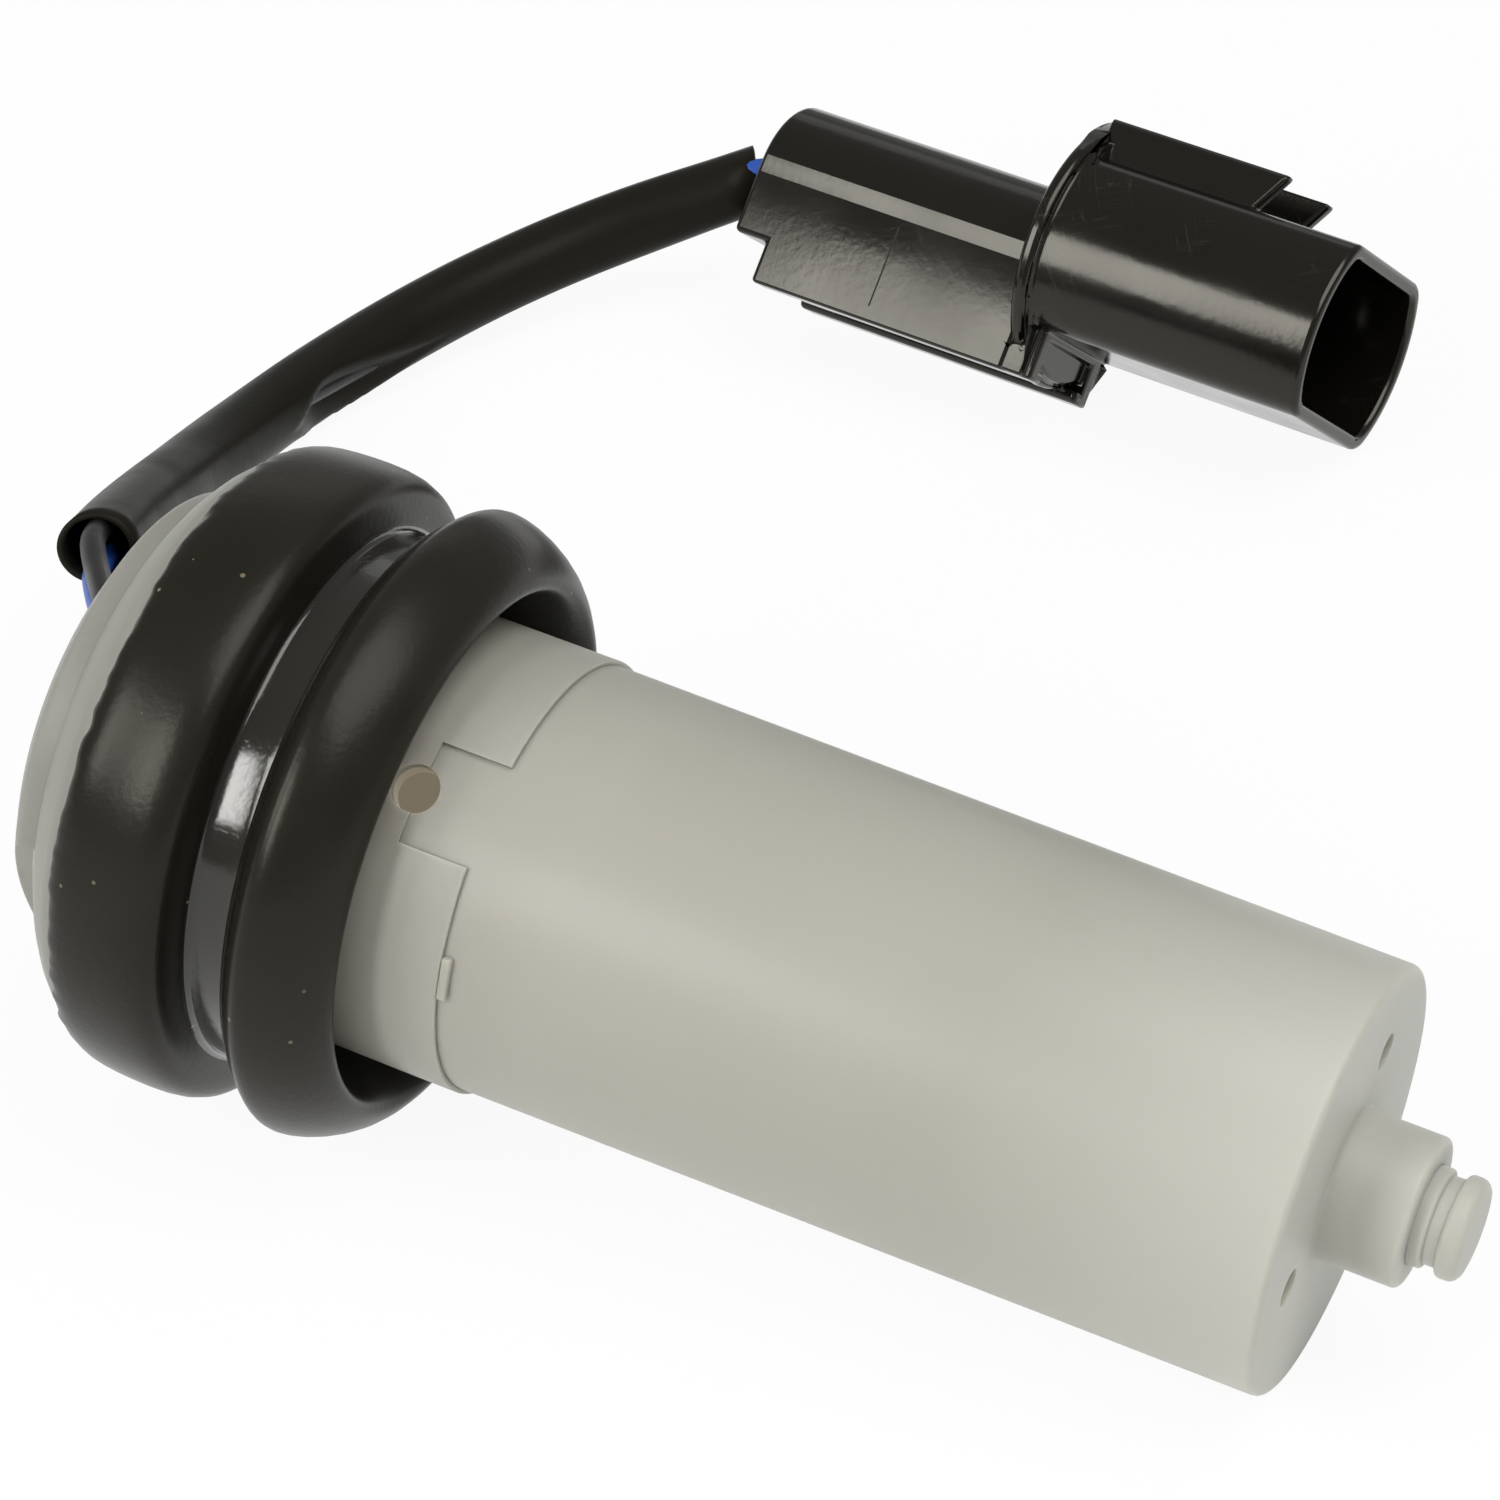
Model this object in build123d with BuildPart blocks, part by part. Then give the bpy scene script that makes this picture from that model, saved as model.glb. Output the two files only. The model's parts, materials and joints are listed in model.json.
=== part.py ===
"""Fluid level sensor with grommet, short lead and two-way connector, in millimetres.

The sensor lies as it comes to rest: the chamber's end rim and the grommet's bead touch
the floor, so its axis dips toward the chamber's end. +X runs from the cap to the
chamber's end, +Y points back to the connector, and +Z is up. Heights are measured along
the sensor's axis from the chamber's end face toward the cap.
"""
import os
from math import asin, atan2, cos, hypot, pi, radians, sin, tan

from build123d import *

os.makedirs("parts", exist_ok=True)

# Float chamber
chamber_end_radius = 13.5
chamber_top_radius = 13.85
chamber_wall = 1.2
chamber_end_wall = 2.0
chamber_rim_fillet = 0.6
chamber_plug_length = 8.7
chamber_plug_step = 0.3
hub_radius = 5.2
hub_height = 1.0
boss_radius = 4.7
boss_length = 5.2
boss_chamfer = 0.4
inlet_diameter = 2.4
inlet_pitch_radius = 8.2
inlet_angles = (29, -105)
vent_diameter = 3.0
vent_height = 57.7
vent_angle = -39.8
nub_angle = -82.5
nub_length = 2.9
nub_width = 0.7
nub_proud = 0.3

# Head cap
skirt_edge_height = 52.8
skirt_radius = 14.15
neck_wall = 1.9
notch_depth = 4.6
notch_angles = (-53.5, -26.5)
flange_height = 75.7
flange_radius = 19.5
flange_rim = 0.6
flange_thickness = 3.7
crown_bulge = 0.5
disc_radius = 15.8
disc_side = 1.1
disc_taper = 0.2
disc_face_radius = 12.0
disc_thickness = 3.4
well_radius = 7.5
well_depth = 10.8
well_wall = 1.6
roof_thickness = 2.1
potting_drop = 0.8

# Stem and end pin
stem_radius = 3.1
stem_bore_radius = 2.0
stem_bore_floor = 4.5
stem_fit = 0.05
shoulder_radius = 5.2
shoulder_height = 57.0
pin_groove_radius = 2.75
pin_groove_width = 0.75
pin_collar = 0.9
pin_head_radius = 3.2
pin_head_length = 1.5
pin_fillet = 0.6
pin_bevel = 0.3

# Grommet
bead_radius = 20.5
bead_crest_drop = 1.7
bead_curve = 5.0
bead_flare = 5.3
bead_tip_radius = 16.7
bead_tip_width = 0.9
tip_rounding = 0.35
bead_corner_drop = 1.6
corner_bulge = 0.25
hollow_depth = 6.0
hollow_bulge = 0.5
groove_floor_radius = 17.2
groove_width = 3.0
band_corner_drop = 1.7
band_proud = 1.3
band_width = 7.8
band_crest_drop = 5.1
band_rim_drop = 0.5
band_crown = 0.07
flash_width = 0.2
flash_lip = 0.3

# Float with its magnet
float_radius = 11.5
float_height = 18.0
float_bore_radius = 3.5
float_chamfer = 0.8
float_seat_gap = 0.3
magnet_inner_radius = 4.4
magnet_outer_radius = 7.2
magnet_height = 6.0
lid_height = 1.2

# Reed switch
glass_radius = 1.05
glass_wall = 0.2
glass_length = 14.0
glass_seal = 1.2
glass_height = 11.0
glass_offset = -0.75
blade_radius = 0.25
blade_thickness = 0.2
blade_width = 0.9
blade_overlap = 2.0
blade_gap = 0.12
lead_tail = 3.0
blade_root = 2.0
blade_lap = 0.4
return_offset = 1.4
return_drop = 1.6
return_bend = 0.7
splice_radius = 1.15
splice_length = 5.0
splice_gap = 1.2
lead_hold = 0.6
wire_hold = 2.0

# Lead
wire_diameter = 1.7
wire_offset = 1.3
sleeve_diameter = 5.6
sleeve_wall = 0.4
cap_exit = 0.4

# Connector
mouth_x = 3.7
mouth_y = 95.5
connector_yaw = -7.86
connector_pitch = -1.73
connector_roll = 38.6
barrel_radius = 9.8
barrel_flat = 6.7
barrel_corner = 2.2
barrel_wall = 1.1
mouth_depth = 16.0
barrel_length = 22.1
ring_radius = 10.4
ring_thickness = 1.9
ring_step = 0.7
ring_step_drop = 0.6
ring_foot_proud = 0.5
body_width = 11.5
body_end = 49.4
body_crown_drop = 1.6
rail_step = 7.3
rail_bottom = 10.57
rail_wall = 1.4
rail_lip = 1.0
rail_rear = 46.5
rail_front = 21.5
guard_spacing = 9.34
guard_wall = 1.3
guard_top = 10.0
guard_rear = 23.0
guard_front = 7.9
guard_foot_slant = 1.9
latch_height = 1.6
latch_length = 4.2
latch_front = 8.9
latch_top = 0.6
latch_width = 6.4
cavity_pitch = 5.2
cavity_drop = 1.0
seal_bore_radius = 2.1
seal_bore_depth = 13.0
seal_length = 6.0
seal_setback = 1.2
seal_lip = 1.8
seal_waist = 0.3
terminal_slot_width = 2.6
terminal_slot_height = 1.4
blade_terminal_width = 2.3
blade_terminal_thickness = 0.64
blade_terminal_reach = 9.5
blade_tip_chamfer = 0.15
crimp_radius = 1.35
crimp_length = 5.0
retainer_thickness = 2.4
retainer_fit = 0.1

# Derived places on the sensor
rebate_radius = chamber_top_radius - chamber_plug_step
chamber_top = skirt_edge_height + chamber_plug_length
chamber_bore_radius = chamber_end_radius - chamber_wall
chamber_mouth_radius = rebate_radius - chamber_wall
flange_crown_height = flange_height + flange_thickness
disc_face_height = flange_crown_height + disc_thickness
well_floor = disc_face_height - well_depth
roof_height = flange_height - roof_thickness
splice_start = well_floor + splice_gap
hub_top = chamber_end_wall + hub_height
float_bottom = hub_top + float_seat_gap
float_travel = shoulder_height - float_seat_gap - float_height - float_bottom
flange_band_radius = flange_radius + band_proud
band_corner_radius = flange_band_radius - band_corner_drop
flash_radius = flange_radius + flash_width
flange_band_height = flange_height - band_crest_drop
groove_end = flange_height - band_width
groove_start = groove_end - groove_width
bead_height = groove_start - bead_crest_drop
bead_tip_height = bead_height - bead_flare
pin_end = boss_length + pin_collar + pin_groove_width + pin_head_length

# Resting pose: one line touches the rim's fillet and the bead's curve
rim_centre = (chamber_rim_fillet, chamber_end_radius - chamber_rim_fillet)
bead_centre = (bead_height, bead_radius - bead_curve)
centre_run = bead_centre[0] - rim_centre[0]
centre_rise = bead_centre[1] - rim_centre[1]
axis_dip = atan2(centre_rise, centre_run) + asin(
    (bead_curve - chamber_rim_fillet) / hypot(centre_run, centre_rise)
)
end_z = chamber_rim_fillet + rim_centre[1] * cos(axis_dip) - rim_centre[0] * sin(axis_dip)
reach_front = pin_end * cos(axis_dip) + (pin_head_radius - pin_fillet) * sin(axis_dip)
reach_rear = disc_face_height * cos(axis_dip) + disc_face_radius * sin(axis_dip)
end_x = (reach_rear - reach_front) / 2
bead_via_angle = pi / 4 - axis_dip
axis_dir = Vector(-cos(axis_dip), 0, sin(axis_dip))
axis_up = Vector(sin(axis_dip), 0, cos(axis_dip))
end_point = Vector(end_x, 0, end_z)
sensor = Plane(origin=end_point, x_dir=axis_up, z_dir=axis_dir)
profile = Plane(origin=end_point, x_dir=axis_up, z_dir=(0, -1, 0))
sensor_axis = Axis(end_point, axis_dir)


def on_sensor(radial, across, height):
    """A point given up from the axis, across it toward +Y, and along it."""
    return end_point + axis_up * radial + Vector(0, across, 0) + axis_dir * height


# Connector pose: its mouth is the origin, z points out of the mouth and x to the far side
yaw, pitch, roll = (radians(a) for a in (connector_yaw, connector_pitch, connector_roll))
mouth_dir = Vector(cos(yaw) * cos(pitch), sin(yaw) * cos(pitch), sin(pitch))
level_side = Vector(-sin(yaw), cos(yaw), 0)
level_up = mouth_dir.cross(level_side)
side_dir = level_side * cos(roll) - level_up * sin(roll)
up_dir = level_up * cos(roll) + level_side * sin(roll)
rail_foot = min(
    (side_dir * (body_width / 2) - up_dir * rail_bottom - mouth_dir * station).Z
    for station in (rail_front, rail_rear)
)
mouth_point = Vector(mouth_x, mouth_y, -rail_foot)
connector = Plane(origin=mouth_point, x_dir=side_dir, z_dir=mouth_dir)


def on_connector(side, up, station):
    """A point given across the connector, up from its axis and back from its mouth."""
    return mouth_point + side_dir * side + up_dir * up - mouth_dir * station


# Float chamber: a long drafted cup with an end boss, turned down where it plugs into the cap
with BuildPart() as float_chamber:
    with BuildSketch(profile):
        with BuildLine():
            Polyline(
                (stem_radius + stem_fit, -boss_length),
                (boss_radius - boss_chamfer, -boss_length),
                (boss_radius, -boss_length + boss_chamfer),
                (boss_radius, 0),
                (chamber_end_radius - chamber_rim_fillet, 0),
            )
            RadiusArc(
                (chamber_end_radius - chamber_rim_fillet, 0),
                (chamber_end_radius, chamber_rim_fillet),
                -chamber_rim_fillet,
            )
            Polyline(
                (chamber_end_radius, chamber_rim_fillet),
                (chamber_top_radius, skirt_edge_height),
                (rebate_radius, skirt_edge_height),
                (rebate_radius, chamber_top),
                (chamber_mouth_radius, chamber_top),
                (chamber_bore_radius, chamber_end_wall),
                (hub_radius, chamber_end_wall),
                (hub_radius, hub_top),
                (stem_radius + stem_fit, hub_top),
                (stem_radius + stem_fit, -boss_length),
            )
        make_face()
    revolve(axis=sensor_axis)
    with BuildSketch(sensor):
        for angle in inlet_angles:
            with PolarLocations(inlet_pitch_radius, 1, start_angle=angle):
                Circle(inlet_diameter / 2)
    extrude(amount=chamber_end_wall, mode=Mode.SUBTRACT)
    vent_plane = Plane(
        origin=on_sensor(0, 0, vent_height),
        x_dir=axis_dir,
        z_dir=axis_up * cos(radians(vent_angle)) + Vector(0, sin(radians(vent_angle)), 0),
    )
    with BuildSketch(vent_plane):
        Circle(vent_diameter / 2)
    extrude(amount=chamber_top_radius, mode=Mode.SUBTRACT)
    nub_plane = Plane(
        origin=on_sensor(0, 0, skirt_edge_height - nub_width / 2),
        x_dir=axis_dir,
        z_dir=axis_up * cos(radians(nub_angle)) + Vector(0, sin(radians(nub_angle)), 0),
    )
    with BuildSketch(nub_plane.offset(chamber_top_radius - chamber_wall / 2)):
        Rectangle(nub_width, nub_length)
    extrude(amount=chamber_wall / 2 + nub_proud)
float_chamber.part.label = "float_chamber"
export_step(float_chamber.part, "parts/float_chamber.step")

# Head cap: flange, raised disc, potting well, neck with its thin skirt, stem and end pin
disc_corner = (disc_radius - disc_taper, flange_crown_height + disc_side)
with BuildPart() as head_cap:
    with BuildSketch(profile):
        with BuildLine():
            Line((0, -pin_end), (pin_head_radius - pin_fillet, -pin_end))
            RadiusArc(
                (pin_head_radius - pin_fillet, -pin_end),
                (pin_head_radius, -pin_end + pin_fillet),
                -pin_fillet,
            )
            Polyline(
                (pin_head_radius, -pin_end + pin_fillet),
                (pin_head_radius, -pin_end + pin_head_length - pin_bevel),
                (pin_groove_radius, -pin_end + pin_head_length),
                (pin_groove_radius, -boss_length - pin_collar),
                (stem_radius, -boss_length - pin_collar + pin_bevel),
                (stem_radius, shoulder_height),
                (shoulder_radius, shoulder_height),
                (shoulder_radius, well_floor - well_wall),
                (well_radius + well_wall, well_floor - well_wall),
                (well_radius + well_wall, roof_height),
                (skirt_radius - neck_wall, roof_height),
                (skirt_radius - neck_wall, chamber_top),
                (rebate_radius, chamber_top),
                (rebate_radius, skirt_edge_height),
                (skirt_radius, skirt_edge_height),
                (skirt_radius, flange_height),
                (flange_radius, flange_height),
                (flange_radius, flange_height + flange_rim),
            )
            ThreePointArc(
                (flange_radius, flange_height + flange_rim),
                (
                    (flange_radius + disc_radius) / 2 + crown_bulge,
                    (flange_height + flange_rim + flange_crown_height) / 2 + crown_bulge,
                ),
                (disc_radius, flange_crown_height),
            )
            Line((disc_radius, flange_crown_height), disc_corner)
            ThreePointArc(
                disc_corner,
                (
                    (disc_corner[0] + disc_face_radius) / 2 + crown_bulge,
                    (disc_corner[1] + disc_face_height) / 2 + crown_bulge,
                ),
                (disc_face_radius, disc_face_height),
            )
            Polyline(
                (disc_face_radius, disc_face_height),
                (well_radius, disc_face_height),
                (well_radius, well_floor),
                (stem_bore_radius, well_floor),
                (stem_bore_radius, stem_bore_floor),
                (0, stem_bore_floor),
                (0, -pin_end),
            )
        make_face()
    revolve(axis=sensor_axis)
    notch_middle = radians(sum(notch_angles) / 2)
    notch_span = radians(notch_angles[1] - notch_angles[0])
    notch_plane = Plane(
        origin=on_sensor(0, 0, skirt_edge_height),
        x_dir=axis_dir,
        z_dir=axis_up * cos(notch_middle) + Vector(0, sin(notch_middle), 0),
    )
    with BuildSketch(notch_plane.offset(chamber_bore_radius)):
        Rectangle(
            notch_depth,
            2 * skirt_radius * sin(notch_span / 2),
            align=(Align.MIN, Align.CENTER),
        )
    extrude(amount=skirt_radius - chamber_bore_radius, mode=Mode.SUBTRACT)
    with BuildSketch(vent_plane.offset(chamber_bore_radius)):
        Circle(vent_diameter / 2)
    extrude(amount=skirt_radius - chamber_bore_radius, mode=Mode.SUBTRACT)
head_cap.part.label = "head_cap"
export_step(head_cap.part, "parts/head_cap.step")

# Grommet: wide outer band, groove for the tank wall and a bead that flares off the skirt
tip_inner = (bead_tip_radius, bead_tip_height + tip_rounding)
tip_outer = (bead_tip_radius + bead_tip_width, bead_tip_height + tip_rounding)
hollow_root = (skirt_radius, bead_tip_height + hollow_depth)
bead_crest = (bead_radius, bead_height)
bead_corner = (bead_radius - bead_corner_drop, groove_start)
band_corner = (band_corner_radius, groove_end)
band_crest = (flange_band_radius, flange_band_height)
band_rim = (flange_band_radius - band_rim_drop, flange_height - band_rim_drop)
with BuildPart() as grommet:
    with BuildSketch(profile):
        with BuildLine():
            ThreePointArc(
                hollow_root,
                (
                    (hollow_root[0] + tip_inner[0]) / 2 + hollow_bulge,
                    (hollow_root[1] + tip_inner[1]) / 2 + hollow_bulge,
                ),
                tip_inner,
            )
            ThreePointArc(
                tip_inner,
                (bead_tip_radius + bead_tip_width / 2, bead_tip_height),
                tip_outer,
            )
            ThreePointArc(
                tip_outer,
                (
                    bead_centre[1] + bead_curve * cos(bead_via_angle),
                    bead_centre[0] - bead_curve * sin(bead_via_angle),
                ),
                bead_crest,
            )
            ThreePointArc(
                bead_crest,
                (
                    (bead_crest[0] + bead_corner[0]) / 2 + corner_bulge,
                    (bead_crest[1] + bead_corner[1]) / 2 + corner_bulge,
                ),
                bead_corner,
            )
            Polyline(
                bead_corner,
                (groove_floor_radius, groove_start),
                (groove_floor_radius, groove_end),
                band_corner,
            )
            ThreePointArc(
                band_corner,
                (
                    (band_corner[0] + band_crest[0]) / 2 + corner_bulge,
                    (band_corner[1] + band_crest[1]) / 2 - corner_bulge,
                ),
                band_crest,
            )
            ThreePointArc(
                band_crest,
                (flange_band_radius - band_crown, (flange_band_height + flange_height) / 2),
                band_rim,
            )
            Polyline(
                band_rim,
                (flash_radius, flange_height + flash_lip),
                (flange_radius, flange_height + flash_lip),
                (flange_radius, flange_height),
                (skirt_radius, flange_height),
                hollow_root,
            )
        make_face()
    revolve(axis=sensor_axis)
grommet.part.label = "grommet"
export_step(grommet.part, "parts/grommet.step")

# Float: a ring that rides on the stem, with a pocket from below for its magnet
with BuildPart() as float_body:
    with BuildSketch(profile):
        with BuildLine():
            Polyline(
                (float_bore_radius, float_bottom),
                (magnet_inner_radius, float_bottom),
                (magnet_inner_radius, float_bottom + lid_height + magnet_height),
                (magnet_outer_radius, float_bottom + lid_height + magnet_height),
                (magnet_outer_radius, float_bottom),
                (float_radius - float_chamfer, float_bottom),
                (float_radius, float_bottom + float_chamfer),
                (float_radius, float_bottom + float_height - float_chamfer),
                (float_radius - float_chamfer, float_bottom + float_height),
                (float_bore_radius, float_bottom + float_height),
                close=True,
            )
        make_face()
    revolve(axis=sensor_axis)
float_body.part.label = "float_body"
export_step(float_body.part, "parts/float_body.step")

with BuildPart() as float_magnet:
    with BuildSketch(sensor.offset(float_bottom + lid_height)):
        Circle(magnet_outer_radius)
        Circle(magnet_inner_radius, mode=Mode.SUBTRACT)
    extrude(amount=magnet_height)
float_magnet.part.label = "float_magnet"
export_step(float_magnet.part, "parts/float_magnet.step")

with BuildPart() as float_lid:
    with BuildSketch(sensor.offset(float_bottom)):
        Circle(magnet_outer_radius)
        Circle(magnet_inner_radius, mode=Mode.SUBTRACT)
    extrude(amount=lid_height)
float_lid.part.label = "float_lid"
export_step(float_lid.part, "parts/float_lid.step")

# Reed switch: a sealed glass tube beside the stem's axis, with flattened blades inside it
glass_top = glass_height + glass_length
glass_middle = glass_height + glass_length / 2
with BuildPart() as reed_glass:
    with BuildSketch(sensor.offset(glass_height)):
        with Locations((glass_offset, 0)):
            Circle(glass_radius)
            Circle(blade_radius, mode=Mode.SUBTRACT)
    extrude(amount=glass_length)
    with BuildSketch(sensor.offset(glass_height + glass_seal)):
        with Locations((glass_offset, 0)):
            Circle(glass_radius - glass_wall)
    extrude(amount=glass_length - 2 * glass_seal, mode=Mode.SUBTRACT)
reed_glass.part.label = "reed_glass"
export_step(reed_glass.part, "parts/reed_glass.step")


def reed_blade(label, tail_start, tail_end, blade_start, blade_end, side):
    """A round lead in the glass's end with a flat blade to one side of its axis."""
    with BuildPart() as blade:
        with BuildSketch(sensor.offset(tail_start)):
            with Locations((glass_offset, 0)):
                Circle(blade_radius)
        extrude(amount=tail_end - tail_start)
        with BuildSketch(sensor.offset(blade_start)):
            with Locations((glass_offset + side * (blade_gap + blade_thickness) / 2, 0)):
                Rectangle(blade_thickness, blade_width)
        extrude(amount=blade_end - blade_start)
    blade.part.label = label
    export_step(blade.part, f"parts/{label}.step")
    return blade.part


reed_blade_lower = reed_blade(
    "reed_blade_lower",
    glass_height - lead_tail,
    glass_height + blade_root,
    glass_height + blade_root - blade_lap,
    glass_middle + blade_overlap / 2,
    1,
)
reed_blade_upper = reed_blade(
    "reed_blade_upper",
    glass_top - blade_root,
    splice_start,
    glass_middle - blade_overlap / 2,
    glass_top - blade_root + blade_lap,
    -1,
)

# Return lead: it turns back under the glass and runs up the bore beside it
tail_foot = glass_height - lead_tail
with BuildPart() as return_lead:
    with BuildLine():
        FilletPolyline(
            on_sensor(glass_offset, 0, tail_foot),
            on_sensor(glass_offset, 0, tail_foot - return_drop),
            on_sensor(return_offset, 0, tail_foot - return_drop),
            on_sensor(return_offset, 0, splice_start),
            radius=return_bend,
        )
    with BuildSketch(sensor.offset(tail_foot)):
        with Locations((glass_offset, 0)):
            Circle(blade_radius)
    sweep()
return_lead.part.label = "return_lead"
export_step(return_lead.part, "parts/return_lead.step")

# Splices: crimp tubes in the potting well, one above the other
splice_end = splice_start + splice_length


def crimp_splice(label, lead_place, wire_place):
    """A crimp tube round the thin lead's end below and the wire's end above."""
    with BuildPart() as splice:
        with BuildSketch(sensor.offset(splice_start - lead_hold)):
            with Locations((wire_place, 0)):
                Circle(splice_radius)
        extrude(amount=splice_length + lead_hold)
        with BuildSketch(sensor.offset(splice_start - lead_hold)):
            with Locations((lead_place, 0)):
                Circle(blade_radius)
        extrude(amount=lead_hold, mode=Mode.SUBTRACT)
        with BuildSketch(sensor.offset(splice_end - wire_hold)):
            with Locations((wire_place, 0)):
                Circle(wire_diameter / 2)
        extrude(amount=wire_hold, mode=Mode.SUBTRACT)
    splice.part.label = label
    export_step(splice.part, f"parts/{label}.step")
    return splice.part


splice_blue = crimp_splice("splice_blue", glass_offset, -wire_offset)
splice_black = crimp_splice("splice_black", return_offset, wire_offset)

# Lead: the sleeve's centreline from the cap round to the connector's back
sleeve_points = [
    (-60.25, 22.3, 18.3),
    (-66.9, 40.5, 10.3),
    (-70.6, 58.0, 4.9),
    (-70.3, 73.0, 3.3),
    (-65.8, 86.3, 4.2),
    (-58.0, 95.8, 6.9),
    (-49.4, 100.4, 10.3),
]
cap_turn_points = [(-49.5, 7.4, 21.8), (-58.16, 18.48, 19.43)]
lead_points = cap_turn_points + sleeve_points
lead_twist = [180, 180, 180, 180, 135, 90, 45, 0, 0]


def corner_radii(points):
    """Arc radii: 0.45 of the shorter run over the tangent of half the turn."""
    radii = []
    for before, corner, after in zip(points, points[1:], points[2:]):
        run_in = Vector(*corner) - Vector(*before)
        run_out = Vector(*after) - Vector(*corner)
        half_turn = radians(run_in.get_angle(run_out)) / 2
        radii.append(0.45 * min(run_in.length, run_out.length) / tan(half_turn))
    return radii


def pair_offset(index):
    """Half the pair's spacing at a lead point, turned about the lead by its twist."""
    before = Vector(*lead_points[max(index - 1, 0)])
    after = Vector(*lead_points[min(index + 1, len(lead_points) - 1)])
    run = (after - before).normalized()
    level = Vector(0, 0, 1).cross(run).normalized()
    rise = run.cross(level)
    twist = radians(lead_twist[index])
    return (rise * cos(twist) + level * sin(twist)) * wire_offset


def wire_route(side, entry_side):
    """One wire: out of the cap, through the sleeve and into its connector cavity."""
    cap_side = side * cos(radians(lead_twist[0])) * wire_offset
    inside_cap = on_sensor(cap_side, 0, splice_end - wire_hold)
    leaving_cap = on_sensor(cap_side, 0, disc_face_height + cap_exit)
    entry = on_connector(entry_side, -cavity_drop, body_end - seal_setback)
    crimped = on_connector(entry_side, -cavity_drop, body_end - seal_bore_depth + crimp_length / 2)
    middle = [Vector(*p) + pair_offset(i) * side for i, p in enumerate(lead_points)]
    return [tuple(p) for p in [inside_cap, leaving_cap, *middle, entry, crimped]]


def report_tube(name, path, section, solid, points):
    """Print a tube's radii and how its volume compares with section times length."""
    radii = corner_radii(points)
    print(name, "length", round(path.length, 1), "radii", [round(r, 1) for r in radii])
    print(name, "volume over section times length", round(solid.volume / (section * path.length), 4))


with BuildPart() as protective_sleeve:
    with BuildLine() as sleeve_line:
        FilletPolyline(*sleeve_points, radius=corner_radii(sleeve_points))
    with BuildSketch(Plane(origin=sleeve_line.wire() @ 0, z_dir=sleeve_line.wire() % 0)):
        Circle(sleeve_diameter / 2)
        Circle(sleeve_diameter / 2 - sleeve_wall, mode=Mode.SUBTRACT)
    sweep(path=sleeve_line.wire())
protective_sleeve.part.label = "protective_sleeve"
export_step(protective_sleeve.part, "parts/protective_sleeve.step")
sleeve_section = pi * sleeve_wall * (sleeve_diameter - sleeve_wall)
report_tube("sleeve", sleeve_line.wire(), sleeve_section, protective_sleeve.part, sleeve_points)

blue_route = wire_route(1, -cavity_pitch / 2)
with BuildPart() as wire_blue:
    with BuildLine() as blue_line:
        FilletPolyline(*blue_route, radius=corner_radii(blue_route))
    with BuildSketch(Plane(origin=blue_line.wire() @ 0, z_dir=blue_line.wire() % 0)):
        Circle(wire_diameter / 2)
    sweep(path=blue_line.wire())
wire_blue.part.label = "wire_blue"
export_step(wire_blue.part, "parts/wire_blue.step")
report_tube("blue", blue_line.wire(), pi * wire_diameter**2 / 4, wire_blue.part, blue_route)

black_route = wire_route(-1, cavity_pitch / 2)
with BuildPart() as wire_black:
    with BuildLine() as black_line:
        FilletPolyline(*black_route, radius=corner_radii(black_route))
    with BuildSketch(Plane(origin=black_line.wire() @ 0, z_dir=black_line.wire() % 0)):
        Circle(wire_diameter / 2)
    sweep(path=black_line.wire())
wire_black.part.label = "wire_black"
export_step(wire_black.part, "parts/wire_black.step")
report_tube("black", black_line.wire(), pi * wire_diameter**2 / 4, wire_black.part, black_route)

# Potting: fills the well round the splices, the leads and the wires
with BuildPart() as potting:
    with BuildSketch(sensor.offset(well_floor)):
        Circle(well_radius)
    extrude(amount=well_depth - potting_drop)
    add(splice_blue, mode=Mode.SUBTRACT)
    add(splice_black, mode=Mode.SUBTRACT)
    add(wire_blue.part, mode=Mode.SUBTRACT)
    add(wire_black.part, mode=Mode.SUBTRACT)
    add(reed_blade_upper, mode=Mode.SUBTRACT)
    add(return_lead.part, mode=Mode.SUBTRACT)
potting.part.label = "potting"
export_step(potting.part, "parts/potting.step")

# Connector housing
cavity_sides = (-cavity_pitch / 2, cavity_pitch / 2)
body_radius = body_width / 2
latch_root = barrel_flat - barrel_wall / 2


def barrel_section(radius, flat, corner):
    """An oval: a circle with two flats and rounded corners."""
    with BuildSketch(mode=Mode.PRIVATE) as section:
        Circle(radius)
        Rectangle(2 * radius, 2 * flat, mode=Mode.INTERSECT)
        fillet(section.vertices(), corner)
    return section.sketch


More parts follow.
